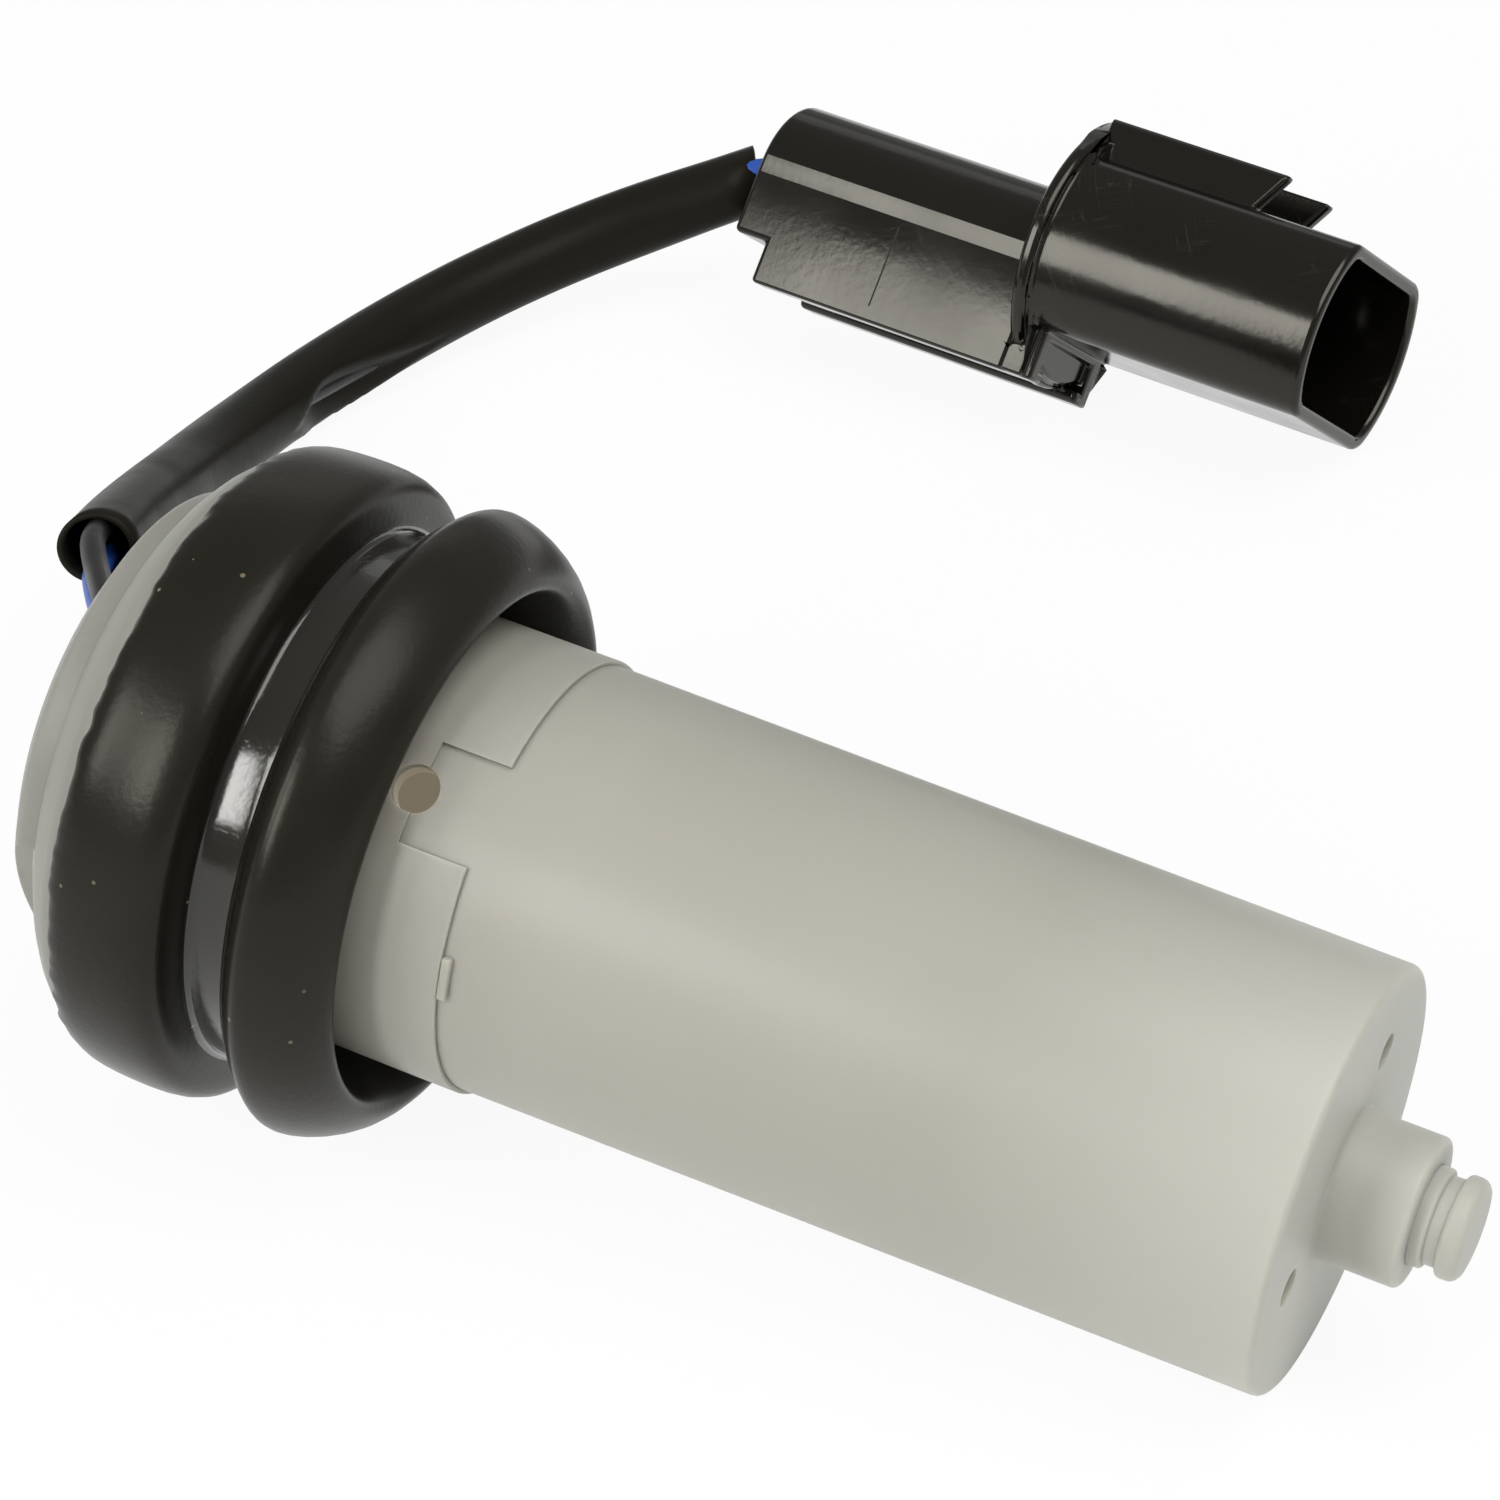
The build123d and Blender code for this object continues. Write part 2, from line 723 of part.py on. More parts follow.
with BuildPart() as connector_housing:
    with BuildSketch(connector):
        add(barrel_section(barrel_radius, barrel_flat, barrel_corner))
    extrude(amount=-barrel_length)
    with BuildSketch(connector.offset(-barrel_length)):
        Circle(ring_radius - ring_step_drop)
    extrude(amount=-ring_step)
    with BuildSketch(connector.offset(-barrel_length - ring_step)):
        Circle(ring_radius)
    extrude(amount=-(ring_thickness - ring_step))
    with BuildSketch(connector.offset(-barrel_length - ring_step)):
        with Locations((0, -body_crown_drop)):
            Circle(body_radius)
        with Locations((0, -body_crown_drop)):
            Rectangle(body_width, rail_step - body_crown_drop, align=(Align.CENTER, Align.MAX))
    extrude(amount=-(body_end - barrel_length - ring_step))
    with BuildSketch(connector.offset(-rail_front)):
        with Locations((0, -rail_step)):
            Rectangle(body_width, rail_bottom - rail_step, align=(Align.CENTER, Align.MAX))
        with Locations((0, -rail_step)):
            Rectangle(
                body_width - 2 * rail_wall,
                rail_bottom - rail_step - rail_lip,
                align=(Align.CENTER, Align.MAX),
                mode=Mode.SUBTRACT,
            )
        with Locations((0, -rail_bottom)):
            Rectangle(
                body_width - 2 * rail_wall - 2 * rail_lip,
                rail_lip,
                align=(Align.CENTER, Align.MIN),
                mode=Mode.SUBTRACT,
            )
    extrude(amount=-(rail_rear - rail_front))
    with BuildSketch(connector.offset(-rail_front)):
        with Locations((0, -barrel_flat + barrel_wall)):
            Rectangle(body_width, rail_step - barrel_flat + barrel_wall, align=(Align.CENTER, Align.MAX))
    extrude(amount=-(barrel_length - rail_front + ring_thickness))
    with BuildSketch(connector.offset(-barrel_length)):
        for side in (-1, 1):
            with Locations((side * (body_radius - rail_wall / 2 + ring_foot_proud / 2), 0)):
                Rectangle(rail_wall + ring_foot_proud, rail_bottom, align=(Align.CENTER, Align.MAX))
    extrude(amount=-ring_thickness)
    for side in (-1, 1):
        wall_plane = Plane(
            origin=on_connector(side * guard_spacing / 2, 0, 0),
            x_dir=-mouth_dir,
            z_dir=side_dir,
        )
        with BuildSketch(wall_plane):
            with BuildLine():
                Polyline(
                    (guard_front, guard_top),
                    (guard_rear, guard_top),
                    (guard_rear, barrel_flat - barrel_wall),
                    (guard_front + guard_foot_slant, barrel_flat - barrel_wall),
                    (guard_front + guard_foot_slant, barrel_flat),
                    close=True,
                )
            make_face()
        extrude(amount=guard_wall / 2, both=True)
    with BuildSketch(Plane(origin=mouth_point, x_dir=-mouth_dir, z_dir=side_dir)):
        with BuildLine():
            Polyline(
                (latch_front, latch_root),
                (latch_front + latch_length, barrel_flat + latch_height),
                (latch_front + latch_length + latch_top, barrel_flat + latch_height),
                (latch_front + latch_length + latch_top, latch_root),
                close=True,
            )
        make_face()
    extrude(amount=latch_width / 2, both=True)
    with BuildSketch(connector):
        add(
            barrel_section(
                barrel_radius - barrel_wall,
                barrel_flat - barrel_wall,
                barrel_corner - barrel_wall / 2,
            )
        )
    extrude(amount=-mouth_depth, mode=Mode.SUBTRACT)
    with BuildSketch(connector.offset(-body_end)):
        with Locations(*[(side, -cavity_drop) for side in cavity_sides]):
            Circle(seal_bore_radius)
    extrude(amount=seal_bore_depth, mode=Mode.SUBTRACT)
    with BuildSketch(connector.offset(-body_end + seal_bore_depth)):
        with Locations(*[(side, -cavity_drop) for side in cavity_sides]):
            Rectangle(terminal_slot_width, terminal_slot_height)
    extrude(amount=body_end - seal_bore_depth - mouth_depth, mode=Mode.SUBTRACT)
connector_housing.part.label = "connector_housing"
export_step(connector_housing.part, "parts/connector_housing.step")

# Terminal retainer: a plate in the mouth's floor with a slot for each blade
with BuildPart() as terminal_retainer:
    with BuildSketch(connector.offset(-mouth_depth)):
        add(
            barrel_section(
                barrel_radius - barrel_wall - retainer_fit,
                barrel_flat - barrel_wall - retainer_fit,
                barrel_corner - barrel_wall / 2,
            )
        )
        with Locations(*[(side, -cavity_drop) for side in cavity_sides]):
            Rectangle(blade_terminal_width, blade_terminal_thickness, mode=Mode.SUBTRACT)
    extrude(amount=retainer_thickness)
terminal_retainer.part.label = "terminal_retainer"
export_step(terminal_retainer.part, "parts/terminal_retainer.step")

# Terminals and wire seals, one of each for each wire
crimp_station = body_end - seal_bore_depth


def blade_terminal(label, side, wire):
    """A blade through the retainer, with a round crimp over the wire's end."""
    with BuildPart() as terminal:
        with BuildSketch(connector.offset(-crimp_station)):
            with Locations((side, -cavity_drop)):
                Rectangle(blade_terminal_width, blade_terminal_thickness)
        extrude(amount=crimp_station - mouth_depth + blade_terminal_reach)
        chamfer(terminal.edges().group_by(Axis(mouth_point, mouth_dir))[-1], blade_tip_chamfer)
        with BuildSketch(connector.offset(-crimp_station)):
            with Locations((side, -cavity_drop)):
                Circle(crimp_radius)
        extrude(amount=-crimp_length)
        add(wire, mode=Mode.SUBTRACT)
    terminal.part.label = label
    export_step(terminal.part, f"parts/{label}.step")


def wire_seal(label, side, wire):
    """A rubber plug with a lip at each end, bored for the wire."""
    seal_back = body_end - seal_setback
    with BuildPart() as seal:
        with BuildSketch(connector.offset(-seal_back)):
            with Locations((side, -cavity_drop)):
                Circle(seal_bore_radius)
        extrude(amount=seal_length)
        with BuildSketch(connector.offset(-seal_back + seal_lip)):
            with Locations((side, -cavity_drop)):
                Circle(seal_bore_radius)
                Circle(seal_bore_radius - seal_waist, mode=Mode.SUBTRACT)
        extrude(amount=seal_length - 2 * seal_lip, mode=Mode.SUBTRACT)
        add(wire, mode=Mode.SUBTRACT)
    seal.part.label = label
    export_step(seal.part, f"parts/{label}.step")


for colour, side, wire in (
    ("blue", cavity_sides[0], wire_blue.part),
    ("black", cavity_sides[1], wire_black.part),
):
    blade_terminal(f"terminal_{colour}", side, wire)
    wire_seal(f"wire_seal_{colour}", side, wire)
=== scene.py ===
"""Dresses the packed fluid level sensor: moulded pieces, sleeved lead, finishes and stage.

Lengths in the tables of profile points are millimetres; everything in the file is metres.
A sensor place is given by its height along the axis from the chamber's end face toward the
cap, and by its distance from the axis. A connector place is given across it, up from its
axis and back from its mouth.
"""

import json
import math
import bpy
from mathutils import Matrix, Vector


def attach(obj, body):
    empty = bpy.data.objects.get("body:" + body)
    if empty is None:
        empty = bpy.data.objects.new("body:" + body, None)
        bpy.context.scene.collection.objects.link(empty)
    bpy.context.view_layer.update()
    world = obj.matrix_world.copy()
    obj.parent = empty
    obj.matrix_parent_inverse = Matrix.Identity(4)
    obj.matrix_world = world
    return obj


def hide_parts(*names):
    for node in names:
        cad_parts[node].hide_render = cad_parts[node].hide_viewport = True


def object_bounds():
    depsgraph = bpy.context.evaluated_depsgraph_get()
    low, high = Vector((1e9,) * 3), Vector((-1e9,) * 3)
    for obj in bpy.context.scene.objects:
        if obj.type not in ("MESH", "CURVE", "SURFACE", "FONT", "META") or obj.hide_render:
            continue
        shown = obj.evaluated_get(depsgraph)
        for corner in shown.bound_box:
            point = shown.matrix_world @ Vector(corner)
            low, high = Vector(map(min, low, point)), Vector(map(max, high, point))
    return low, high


bl_info = {
    "name": "Fluid Level Sensor",
    "version": (1, 0, 0),
    "blender": (4, 5, 0),
    "location": "3D View > Sidebar > Level Sensor",
    "description": "Builds a float-type fluid level sensor with its grommet, lead and connector",
    "category": "Object",
}

import bmesh
import bpy
from mathutils import Matrix, Vector, noise

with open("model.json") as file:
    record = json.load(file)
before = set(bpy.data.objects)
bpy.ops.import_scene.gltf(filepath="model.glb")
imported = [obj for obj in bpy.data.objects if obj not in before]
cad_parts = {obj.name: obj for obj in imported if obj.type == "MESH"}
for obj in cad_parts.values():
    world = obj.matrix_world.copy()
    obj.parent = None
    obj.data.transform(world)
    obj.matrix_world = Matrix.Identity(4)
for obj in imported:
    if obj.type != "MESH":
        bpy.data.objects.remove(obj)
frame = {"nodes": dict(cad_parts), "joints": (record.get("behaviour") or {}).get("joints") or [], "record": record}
cad_low, cad_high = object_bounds()

MM = 0.001
PHOTO_PIXELS = 1500
SENSOR_BODY = "sensor"
mounts = {mount["name"]: mount for mount in frame["record"]["mounts"]}


def axes_at(origin, x_axis, y_axis, z_axis):
    """A matrix from a place and three axes."""
    return Matrix.Translation(origin) @ Matrix((x_axis, y_axis, z_axis)).transposed().to_4x4()


# Sensor frame: local x is up from the axis, y across it and z along it toward the cap
AXIS = Vector(frame["joints"][0]["axis"]).normalized()
BOSS_MIDDLE = 2.4 * MM
END_POINT = Vector(mounts["end_boss"]["pos_m"]) + AXIS * BOSS_MIDDLE
ACROSS = Vector((0, 1, 0))
AXIS_UP = ACROSS.cross(AXIS)
SENSOR = axes_at(END_POINT, AXIS_UP, ACROSS, AXIS)

# Connector frame: local x is its far side, y its top and z points out of the mouth
CONNECTOR_ROLL = math.radians(38.6)
MOUTH_DIR = Vector(mounts["plug_mouth"]["axis"]).normalized()
MOUTH_POINT = Vector(mounts["plug_mouth"]["pos_m"])
LEVEL_SIDE = Vector((0, 0, 1)).cross(MOUTH_DIR).normalized()
LEVEL_UP = MOUTH_DIR.cross(LEVEL_SIDE)
SIDE_DIR = LEVEL_SIDE * math.cos(CONNECTOR_ROLL) - LEVEL_UP * math.sin(CONNECTOR_ROLL)
UP_DIR = LEVEL_UP * math.cos(CONNECTOR_ROLL) + LEVEL_SIDE * math.sin(CONNECTOR_ROLL)
CONNECTOR = axes_at(MOUTH_POINT, SIDE_DIR, UP_DIR, MOUTH_DIR)

# Angles round the sensor's axis in degrees, with heights along it in millimetres
VENT = (-39.8, 57.7)
NOTCH_ANGLE = -40
GATE_MARK = (-82.5, 52.45)
CAP_CHORD = (-115, 79.6)
INLET_ANGLES = (29, -105)
INLET_SPREAD = 8.2

# Zones of the milky finish and the groove, in metres along the sensor's axis
# Painted shade: the skirt and neck darken toward the grommet
GROMMET_SHADE_ZONE = (0.047, 0.062)
# Painted light: the plastic turns paler toward the chamber's end
PAINTED_LIGHT_ZONE = (0.020, -0.001)
# Over the potting: partly the dark potting behind the plastic, partly painted shade on the cap's disc
POTTING_AND_SHADE_ZONE = (0.0750, 0.0765)
GROOVE_ZONE = (0.0640, 0.0682)
# Inside this radius and above this floor the plastic gets a painted glow
GLOW_RADIUS = 0.0134
GLOW_FLOOR = 0.0015

# Places on the connector's flat near side, in metres of its own frame
FLAT_SIDE = -0.0051
FLAT_START = -0.0241
FLAT_TOP = -0.00235
GUARD_BOTTOM = 0.0067
BOW_MIDDLE = -0.0065
STRIP_MIDDLE, STRIP_REACH = -0.00165, 0.0007
STRIP_CREST = -0.0030
SEAM_SIDE = -0.0054
SEAM_STATION, SEAM_REACH = -0.0362, 0.00007
SEAM_MIDDLE, SEAM_RUN = -0.0062, 0.0032

# The corner where the guard walls meet the flange ring stays sharp, in millimetres
SHARP_CORNER_UP = 6.5
SHARP_CORNER_SIDE = 7
SHARP_CORNER_RUN = (-24.5, -21.6)
SHARP_ANGLE = math.radians(32)

# Tint of the reflections on the black plastics
WARM = (1.0, 0.97, 0.85)

# Azimuth from the front toward +X and elevation in degrees, distance and size in metres
LAMPS = (
    ("Key softbox", -16, 29, 0.62, (0.12, 0.28), "key_power"),
    ("Left softbox", -39, 29, 0.62, (0.15, 0.28), "left_power"),
    ("Top fill", 70, 64, 0.75, (0.60, 0.50), "fill_power"),
    ("Back light", -160, 30, 0.75, (0.50, 0.20), "back_power"),
)
CAMERA_AZIMUTH = 25.34
CAMERA_ELEVATION = 34.246
FLOOR_RADIUS = 12.0
FLOOR_GLOW = 0.93


def on_sensor(radial, across, height):
    """A point in metres from millimetres up from the axis, across it and along it."""
    return SENSOR @ (Vector((radial, across, height)) * MM)


def on_connector(side, up, station):
    """A point in metres from millimetres across the connector, up and back from its mouth."""
    return CONNECTOR @ (Vector((side, up, -station)) * MM)


def length(name, description, default):
    """A length property in metres."""
    return bpy.props.FloatProperty(
        name=name, description=description, default=default * MM, precision=5, subtype="DISTANCE",
        unit="LENGTH",
    )


def colour(name, description, default):
    """A colour property."""
    return bpy.props.FloatVectorProperty(
        name=name, description=description, default=default, size=3, min=0, max=1,
        subtype="COLOR",
    )


def power(name, description, default):
    """A lamp's power."""
    return bpy.props.FloatProperty(name=name, description=description, default=default, unit="POWER")


class SensorSizes(bpy.types.PropertyGroup):
    """Sizes of the moulded sensor, its grommet and its end pin."""

    chamber_radius: length("Chamber radius", "Radius of the float chamber at its end", 13.5)
    chamber_top: length("Chamber top radius", "Radius of the float chamber at the skirt", 13.85)
    skirt_radius: length("Skirt radius", "Radius of the cap's skirt", 14.15)
    skirt_edge: length("Skirt edge", "Height of the skirt's edge", 52.8)
    flange_radius: length("Flange radius", "Radius of the cap's flange", 19.5)
    disc_radius: length("Disc radius", "Radius of the raised disc on the cap", 15.8)
    bead_radius: length("Bead radius", "Largest radius of the grommet's bead", 20.5)
    band_radius: length("Band radius", "Largest radius of the grommet's outer band", 20.8)
    groove_radius: length("Groove radius", "Radius of the groove's floor", 17.2)
    flash_depth: length("Flash depth", "Depth of the ragged flash on the grommet's rim", 0.6)


class LeadSizes(bpy.types.PropertyGroup):
    """Sizes of the lead's wires and sleeve."""

    wire_diameter: length("Wire diameter", "Diameter of each insulated wire", 1.7)
    wire_offset: length("Wire offset", "Height of each wire above or below the lead's middle", 1.3)
    sleeve_diameter: length("Sleeve diameter", "Outside diameter of the vinyl sleeve", 5.6)
    sleeve_wall: length("Sleeve wall", "Wall thickness of the vinyl sleeve", 0.4)
    sleeve_overrun: length("Sleeve overrun", "How far the sleeve's slanted end reaches past its route", 1.3)
    edge_round: length("Edge rounding", "Rounding of the connector's moulded edges", 0.42)


class FinishColours(bpy.types.PropertyGroup):
    """Base colours of the finishes."""

    milky: colour("Milky plastic", "Main tone of the white plastic", (0.378, 0.37, 0.322))
    # Painted shade: a darker, warmer tone on the skirt and neck by the grommet
    milky_grommet_shade: colour("Warm plastic", "Tone of the white plastic near the grommet", (0.315, 0.304, 0.26))
    # Paler tone: painted light toward the chamber's end, and also the pale side of the random unevenness
    milky_pale_and_painted_light: colour("Pale plastic", "Tone of the white plastic's end", (0.49, 0.487, 0.438))
    # Darker cap tone: partly the dark potting showing through, partly painted shade on the disc
    milky_potting_and_shade: colour("Cap plastic", "Tone of the plastic over the dark potting", (0.225, 0.222, 0.197))
    # Painted glow: an emission on the inner surfaces that stands in for light coming through the walls; it is no
    # lamp
    milky_painted_glow: colour("Inner light", "Light that comes through the plastic", (0.125, 0.106, 0.079))
    rubber: colour("Rubber", "Main tone of the grommet", (0.012, 0.0108, 0.0078))
    dust: colour("Dust", "Tone of dust specks on black pieces", (0.22, 0.18, 0.13))
    housing: colour("Housing", "Main tone of the connector", (0.0055, 0.0049, 0.0037))
    vinyl: colour("Vinyl", "Main tone of the sleeve", (0.0125, 0.0117, 0.0085))
    blue: colour("Blue wire", "Tone of the blue insulation", (0.03, 0.10, 0.46))
    black: colour("Black wire", "Tone of the black insulation", (0.007, 0.007, 0.0065))


class StageSettings(bpy.types.PropertyGroup):
    """Light and camera of the stage."""

    camera_place: bpy.props.FloatVectorProperty(
        name="Camera place", description="Where the camera stands",
        default=(0.115027, -0.24482, 0.21727), precision=5, subtype="TRANSLATION", unit="LENGTH",
    )
    focal_pixels: bpy.props.FloatProperty(
        name="Focal length in pixels",
        description="Focal length over the photograph's pixel size", default=5543.0,
    )
    world_level: bpy.props.FloatProperty(
        name="World level", description="Strength of the even light", default=0.3
    )
    key_power: power("Key power", "Power of the main softbox", 1.3)
    left_power: power("Left power", "Power of the softbox on the left", 1.05)
    fill_power: power("Fill power", "Power of the soft light above on the right", 3.7)
    back_power: power("Back power", "Power of the light behind", 0.12)


def add_object(name, data):
    """An object in the scene with its data."""
    piece = bpy.data.objects.new(name, data)
    bpy.context.scene.collection.objects.link(piece)
    return piece


def mesh_object(name, bm):
    """An object in the scene from a bmesh."""
    mesh = bpy.data.meshes.new(name)
    bm.to_mesh(mesh)
    bm.free()
    return add_object(name, mesh)


def placed(name, bm, place):
    """An object from a bmesh, with its place put into the mesh."""
    bmesh.ops.transform(bm, matrix=place, verts=bm.verts)
    bmesh.ops.recalc_face_normals(bm, faces=bm.faces)
    return mesh_object(name, bm)


def new_piece(name, bm, place, material, smooth_angle=35):
    """A finished piece from a bmesh, riding on the sensor's body."""
    piece = placed(name, bm, place)
    smooth(piece, smooth_angle)
    piece.data.materials.append(material)
    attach(piece, SENSOR_BODY)
    return piece


def smooth(piece, angle):
    """Smooth shading with edges kept sharp above an angle in degrees."""
    piece.data.shade_smooth()
    piece.data.set_sharp_from_angle(angle=math.radians(angle))


def round_off(bm, geom, offset, segments, affect):
    """Bevels verts or edges of a bmesh by an offset in millimetres."""
    bmesh.ops.bevel(
        bm, geom=geom, offset=offset * MM, offset_type="OFFSET", segments=segments, profile=0.5,
        affect=affect, material=-1,
    )


def spun(profile, steps):
    """A bmesh spun about local z from points of radius, height and corner cut in millimetres."""
    bm = bmesh.new()
    verts = [bm.verts.new((point[0] * MM, 0, point[1] * MM)) for point in profile]
    for pair in zip(verts, verts[1:]):
        bm.edges.new(pair)
    if profile[0][0] > 0:
        bm.edges.new((verts[-1], verts[0]))
    for vert, point in zip(verts, profile):
        if len(point) > 2:
            round_off(bm, [vert], point[2], 4, "VERTICES")
    bmesh.ops.spin(
        bm, geom=bm.verts[:] + bm.edges[:], cent=(0, 0, 0), axis=(0, 0, 1), dvec=(0, 0, 0),
        angle=math.tau, steps=steps, use_merge=True, use_duplicate=False,
    )
    bmesh.ops.remove_doubles(bm, verts=bm.verts, dist=1e-7)
    bmesh.ops.recalc_face_normals(bm, faces=bm.faces)
    return bm


def cutter(bm, place):
    """A shape that a Boolean takes away from a piece."""
    return placed("cutter", bm, place)


def cut(piece, tools):
    """Takes the tools' shapes out of a piece and removes them."""
    for tool in tools:
        modifier = piece.modifiers.new("cut", "BOOLEAN")
        modifier.operation = "DIFFERENCE"
        modifier.solver = "EXACT"
        modifier.object = tool
    settle(piece)
    for tool in tools:
        bpy.data.objects.remove(tool)


def final_mesh(piece):
    """A new mesh of a piece as its modifiers or its curve leave it."""
    depsgraph = bpy.context.evaluated_depsgraph_get()
    return bpy.data.meshes.new_from_object(piece.evaluated_get(depsgraph), depsgraph=depsgraph)


def settle(piece):
    """Applies a piece's modifiers to its mesh."""
    mesh = final_mesh(piece)
    piece.modifiers.clear()
    piece.data = mesh


def soften(piece, width, angle=50, segments=2):
    """Rounds a piece's sharp edges by a width in metres; gives the modifier."""
    bevel = piece.modifiers.new("edges", "BEVEL")
    bevel.width = width
    bevel.segments = segments
    bevel.limit_method = "ANGLE"
    bevel.angle_limit = math.radians(angle)
    bevel.harden_normals = True
    return bevel


def round_cutter(radius, low, high):
    """A bmesh cylinder along local z between two heights, in millimetres."""
    bm = bmesh.new()
    bmesh.ops.create_cone(
        bm, cap_ends=True, segments=40, radius1=radius * MM, radius2=radius * MM,
        depth=(high - low) * MM, matrix=Matrix.Translation((0, 0, (low + high) / 2 * MM)),
    )
    return bm


def block(width, depth, height, centre):
    """A bmesh box of a size about a centre, in millimetres."""
    bm = bmesh.new()
    place = Matrix.Translation(Vector(centre) * MM) @ Matrix.Diagonal(
        (width * MM, depth * MM, height * MM, 1)
    )
    bmesh.ops.create_cube(bm, size=1, matrix=place)
    return bm


def facing(angle, height):
    """A frame on the axis whose z points out at an angle and whose x runs toward the cap."""
    turn = math.radians(angle)
    out = AXIS_UP * math.cos(turn) + ACROSS * math.sin(turn)
    return axes_at(on_sensor(0, 0, height), AXIS, out.cross(AXIS), out)


def node_group(name, outputs, **inputs):
    """A shader node group with a vector input, named float inputs and float outputs."""
    group = bpy.data.node_groups.new(name, "ShaderNodeTree")
    group.interface.new_socket("Vector", in_out="INPUT", socket_type="NodeSocketVector")
    for label, default in inputs.items():
        socket = group.interface.new_socket(label, in_out="INPUT", socket_type="NodeSocketFloat")
        socket.default_value = default
    for label in outputs:
        group.interface.new_socket(label, in_out="OUTPUT", socket_type="NodeSocketFloat")
    source, sink = group.nodes.new("NodeGroupInput"), group.nodes.new("NodeGroupOutput")
    return group, source.outputs, sink.inputs


def feed(tree, socket, value):
    """Links a socket to an output, or gives it a plain number or colour."""
    if isinstance(value, bpy.types.NodeSocket):
        tree.links.new(value, socket)
    elif isinstance(value, (int, float)):
        socket.default_value = value
    else:
        socket.default_value = (*value, 1)


def math_node(tree, operation, *values):
    """A Math node fed by sockets or numbers; gives its output."""
    node = tree.nodes.new("ShaderNodeMath")
    node.operation = operation
    for socket, value in zip(node.inputs, values):
        feed(tree, socket, value)
    return node.outputs[0]


def dress(tree, shader, values):
    """Feeds a shader's sockets by their names."""
    for label, value in values.items():
        feed(tree, shader.inputs[label], value)


def times(tree, first, second):
    """The product of two values."""
    return math_node(tree, "MULTIPLY", first, second)


def map_range(tree, value, low, high, to_low=0.0, to_high=1.0):
    """A clamped Map Range node; gives its output."""
    node = tree.nodes.new("ShaderNodeMapRange")
    labels = ("Value", "From Min", "From Max", "To Min", "To Max")
    for label, number in zip(labels, (value, low, high, to_low, to_high)):
        feed(tree, node.inputs[label], number)
    return node.outputs["Result"]


def mix_colour(tree, factor, first, second):
    """A colour Mix node; gives its output."""
    node = tree.nodes.new("ShaderNodeMix")
    node.data_type = "RGBA"
    feed(tree, node.inputs[0], factor)
    feed(tree, node.inputs[6], first)
    feed(tree, node.inputs[7], second)
    return node.outputs[2]


def noise_value(tree, vector, scale, detail=2.0):
    """A Noise texture; gives its value."""
    node = tree.nodes.new("ShaderNodeTexNoise")
    node.inputs["Detail"].default_value = detail
    feed(tree, node.inputs["Scale"], scale)
    tree.links.new(vector, node.inputs["Vector"])
    return node.outputs["Fac"]


def build_speck_group():
    """Dust specks: scattered small dots of varied size."""
    group, source, sink = node_group("Dust specks", ["Mask"], Scale=400.0, Size=0.12, Share=0.1)
    cells = group.nodes.new("ShaderNodeTexVoronoi")
    cells.inputs["Randomness"].default_value = 1.0
    group.links.new(source["Vector"], cells.inputs["Vector"])
    group.links.new(source["Scale"], cells.inputs["Scale"])
    tint = group.nodes.new("ShaderNodeSeparateColor")
    group.links.new(cells.outputs["Color"], tint.inputs[0])
    chosen = math_node(group, "LESS_THAN", tint.outputs[0], source["Share"])
    reach = times(group, tint.outputs[1], source["Size"])
    dot = math_node(group, "LESS_THAN", cells.outputs["Distance"], reach)
    strength = times(group, dot, chosen)
    fade = map_range(group, tint.outputs[2], 0.0, 1.0, 0.35, 1.0)
    group.links.new(times(group, strength, fade), sink["Mask"])
    return group


def build_scratch_group():
    """Fine scratches: thin broken lines along one direction."""
    group, source, sink = node_group("Fine scratches", ["Mask"], Scale=60.0, Turn=0.4, Width=0.02)
    turned = group.nodes.new("ShaderNodeVectorRotate")
    turned.rotation_type = "X_AXIS"
    group.links.new(source["Vector"], turned.inputs["Vector"])
    group.links.new(source["Turn"], turned.inputs["Angle"])
    stretched = group.nodes.new("ShaderNodeMapping")
    stretched.inputs["Scale"].default_value = (1.0, 14.0, 0.6)
    group.links.new(turned.outputs["Vector"], stretched.inputs["Vector"])
    lines = noise_value(group, stretched.outputs["Vector"], source["Scale"], 1.0)
    centred = math_node(group, "ABSOLUTE", math_node(group, "SUBTRACT", lines, 0.5))
    thin = math_node(group, "LESS_THAN", centred, source["Width"])
    gate = map_range(group, noise_value(group, source["Vector"], 150.0), 0.56, 0.68)
    group.links.new(times(group, thin, gate), sink["Mask"])
    return group


def build_grain_group():
    """Moulded grain: a fine height and a slow unevenness of tone."""
    group, source, sink = node_group("Moulded grain", ["Height", "Tone"], Fine=2500.0, Slow=70.0)
    fine = noise_value(group, source["Vector"], source["Fine"], 3.0)
    slow = noise_value(group, source["Vector"], source["Slow"])
    group.links.new(fine, sink["Height"])
    group.links.new(slow, sink["Tone"])
    return group


def place_group(tree, group, vector, **values):
    """Puts a node group into a material with its own values."""
    node = tree.nodes.new("ShaderNodeGroup")
    node.node_tree = group
    tree.links.new(vector, node.inputs["Vector"])
    for label, value in values.items():
        node.inputs[label].default_value = value
    return node


def start_material(name, roughness, specular=0.5, tint=(1.0, 1.0, 1.0)):
    """A material with its Principled shader and object coordinates."""
    material = bpy.data.materials.new(name)
    material.use_nodes = True
    tree = material.node_tree
    shader = tree.nodes["Principled BSDF"]
    dress(tree, shader, {"Roughness": roughness, "Specular IOR Level": specular, "Specular Tint": tint})
    place = tree.nodes.new("ShaderNodeTexCoord").outputs["Object"]
    return material, tree, shader, place


def add_bump(tree, shader, height, distance, strength=1.0):
    """Feeds a height through a Bump node to the shader's normal."""
    bump = tree.nodes.new("ShaderNodeBump")
    dress(tree, bump, {"Distance": distance, "Strength": strength, "Height": height})
    tree.links.new(bump.outputs["Normal"], shader.inputs["Normal"])


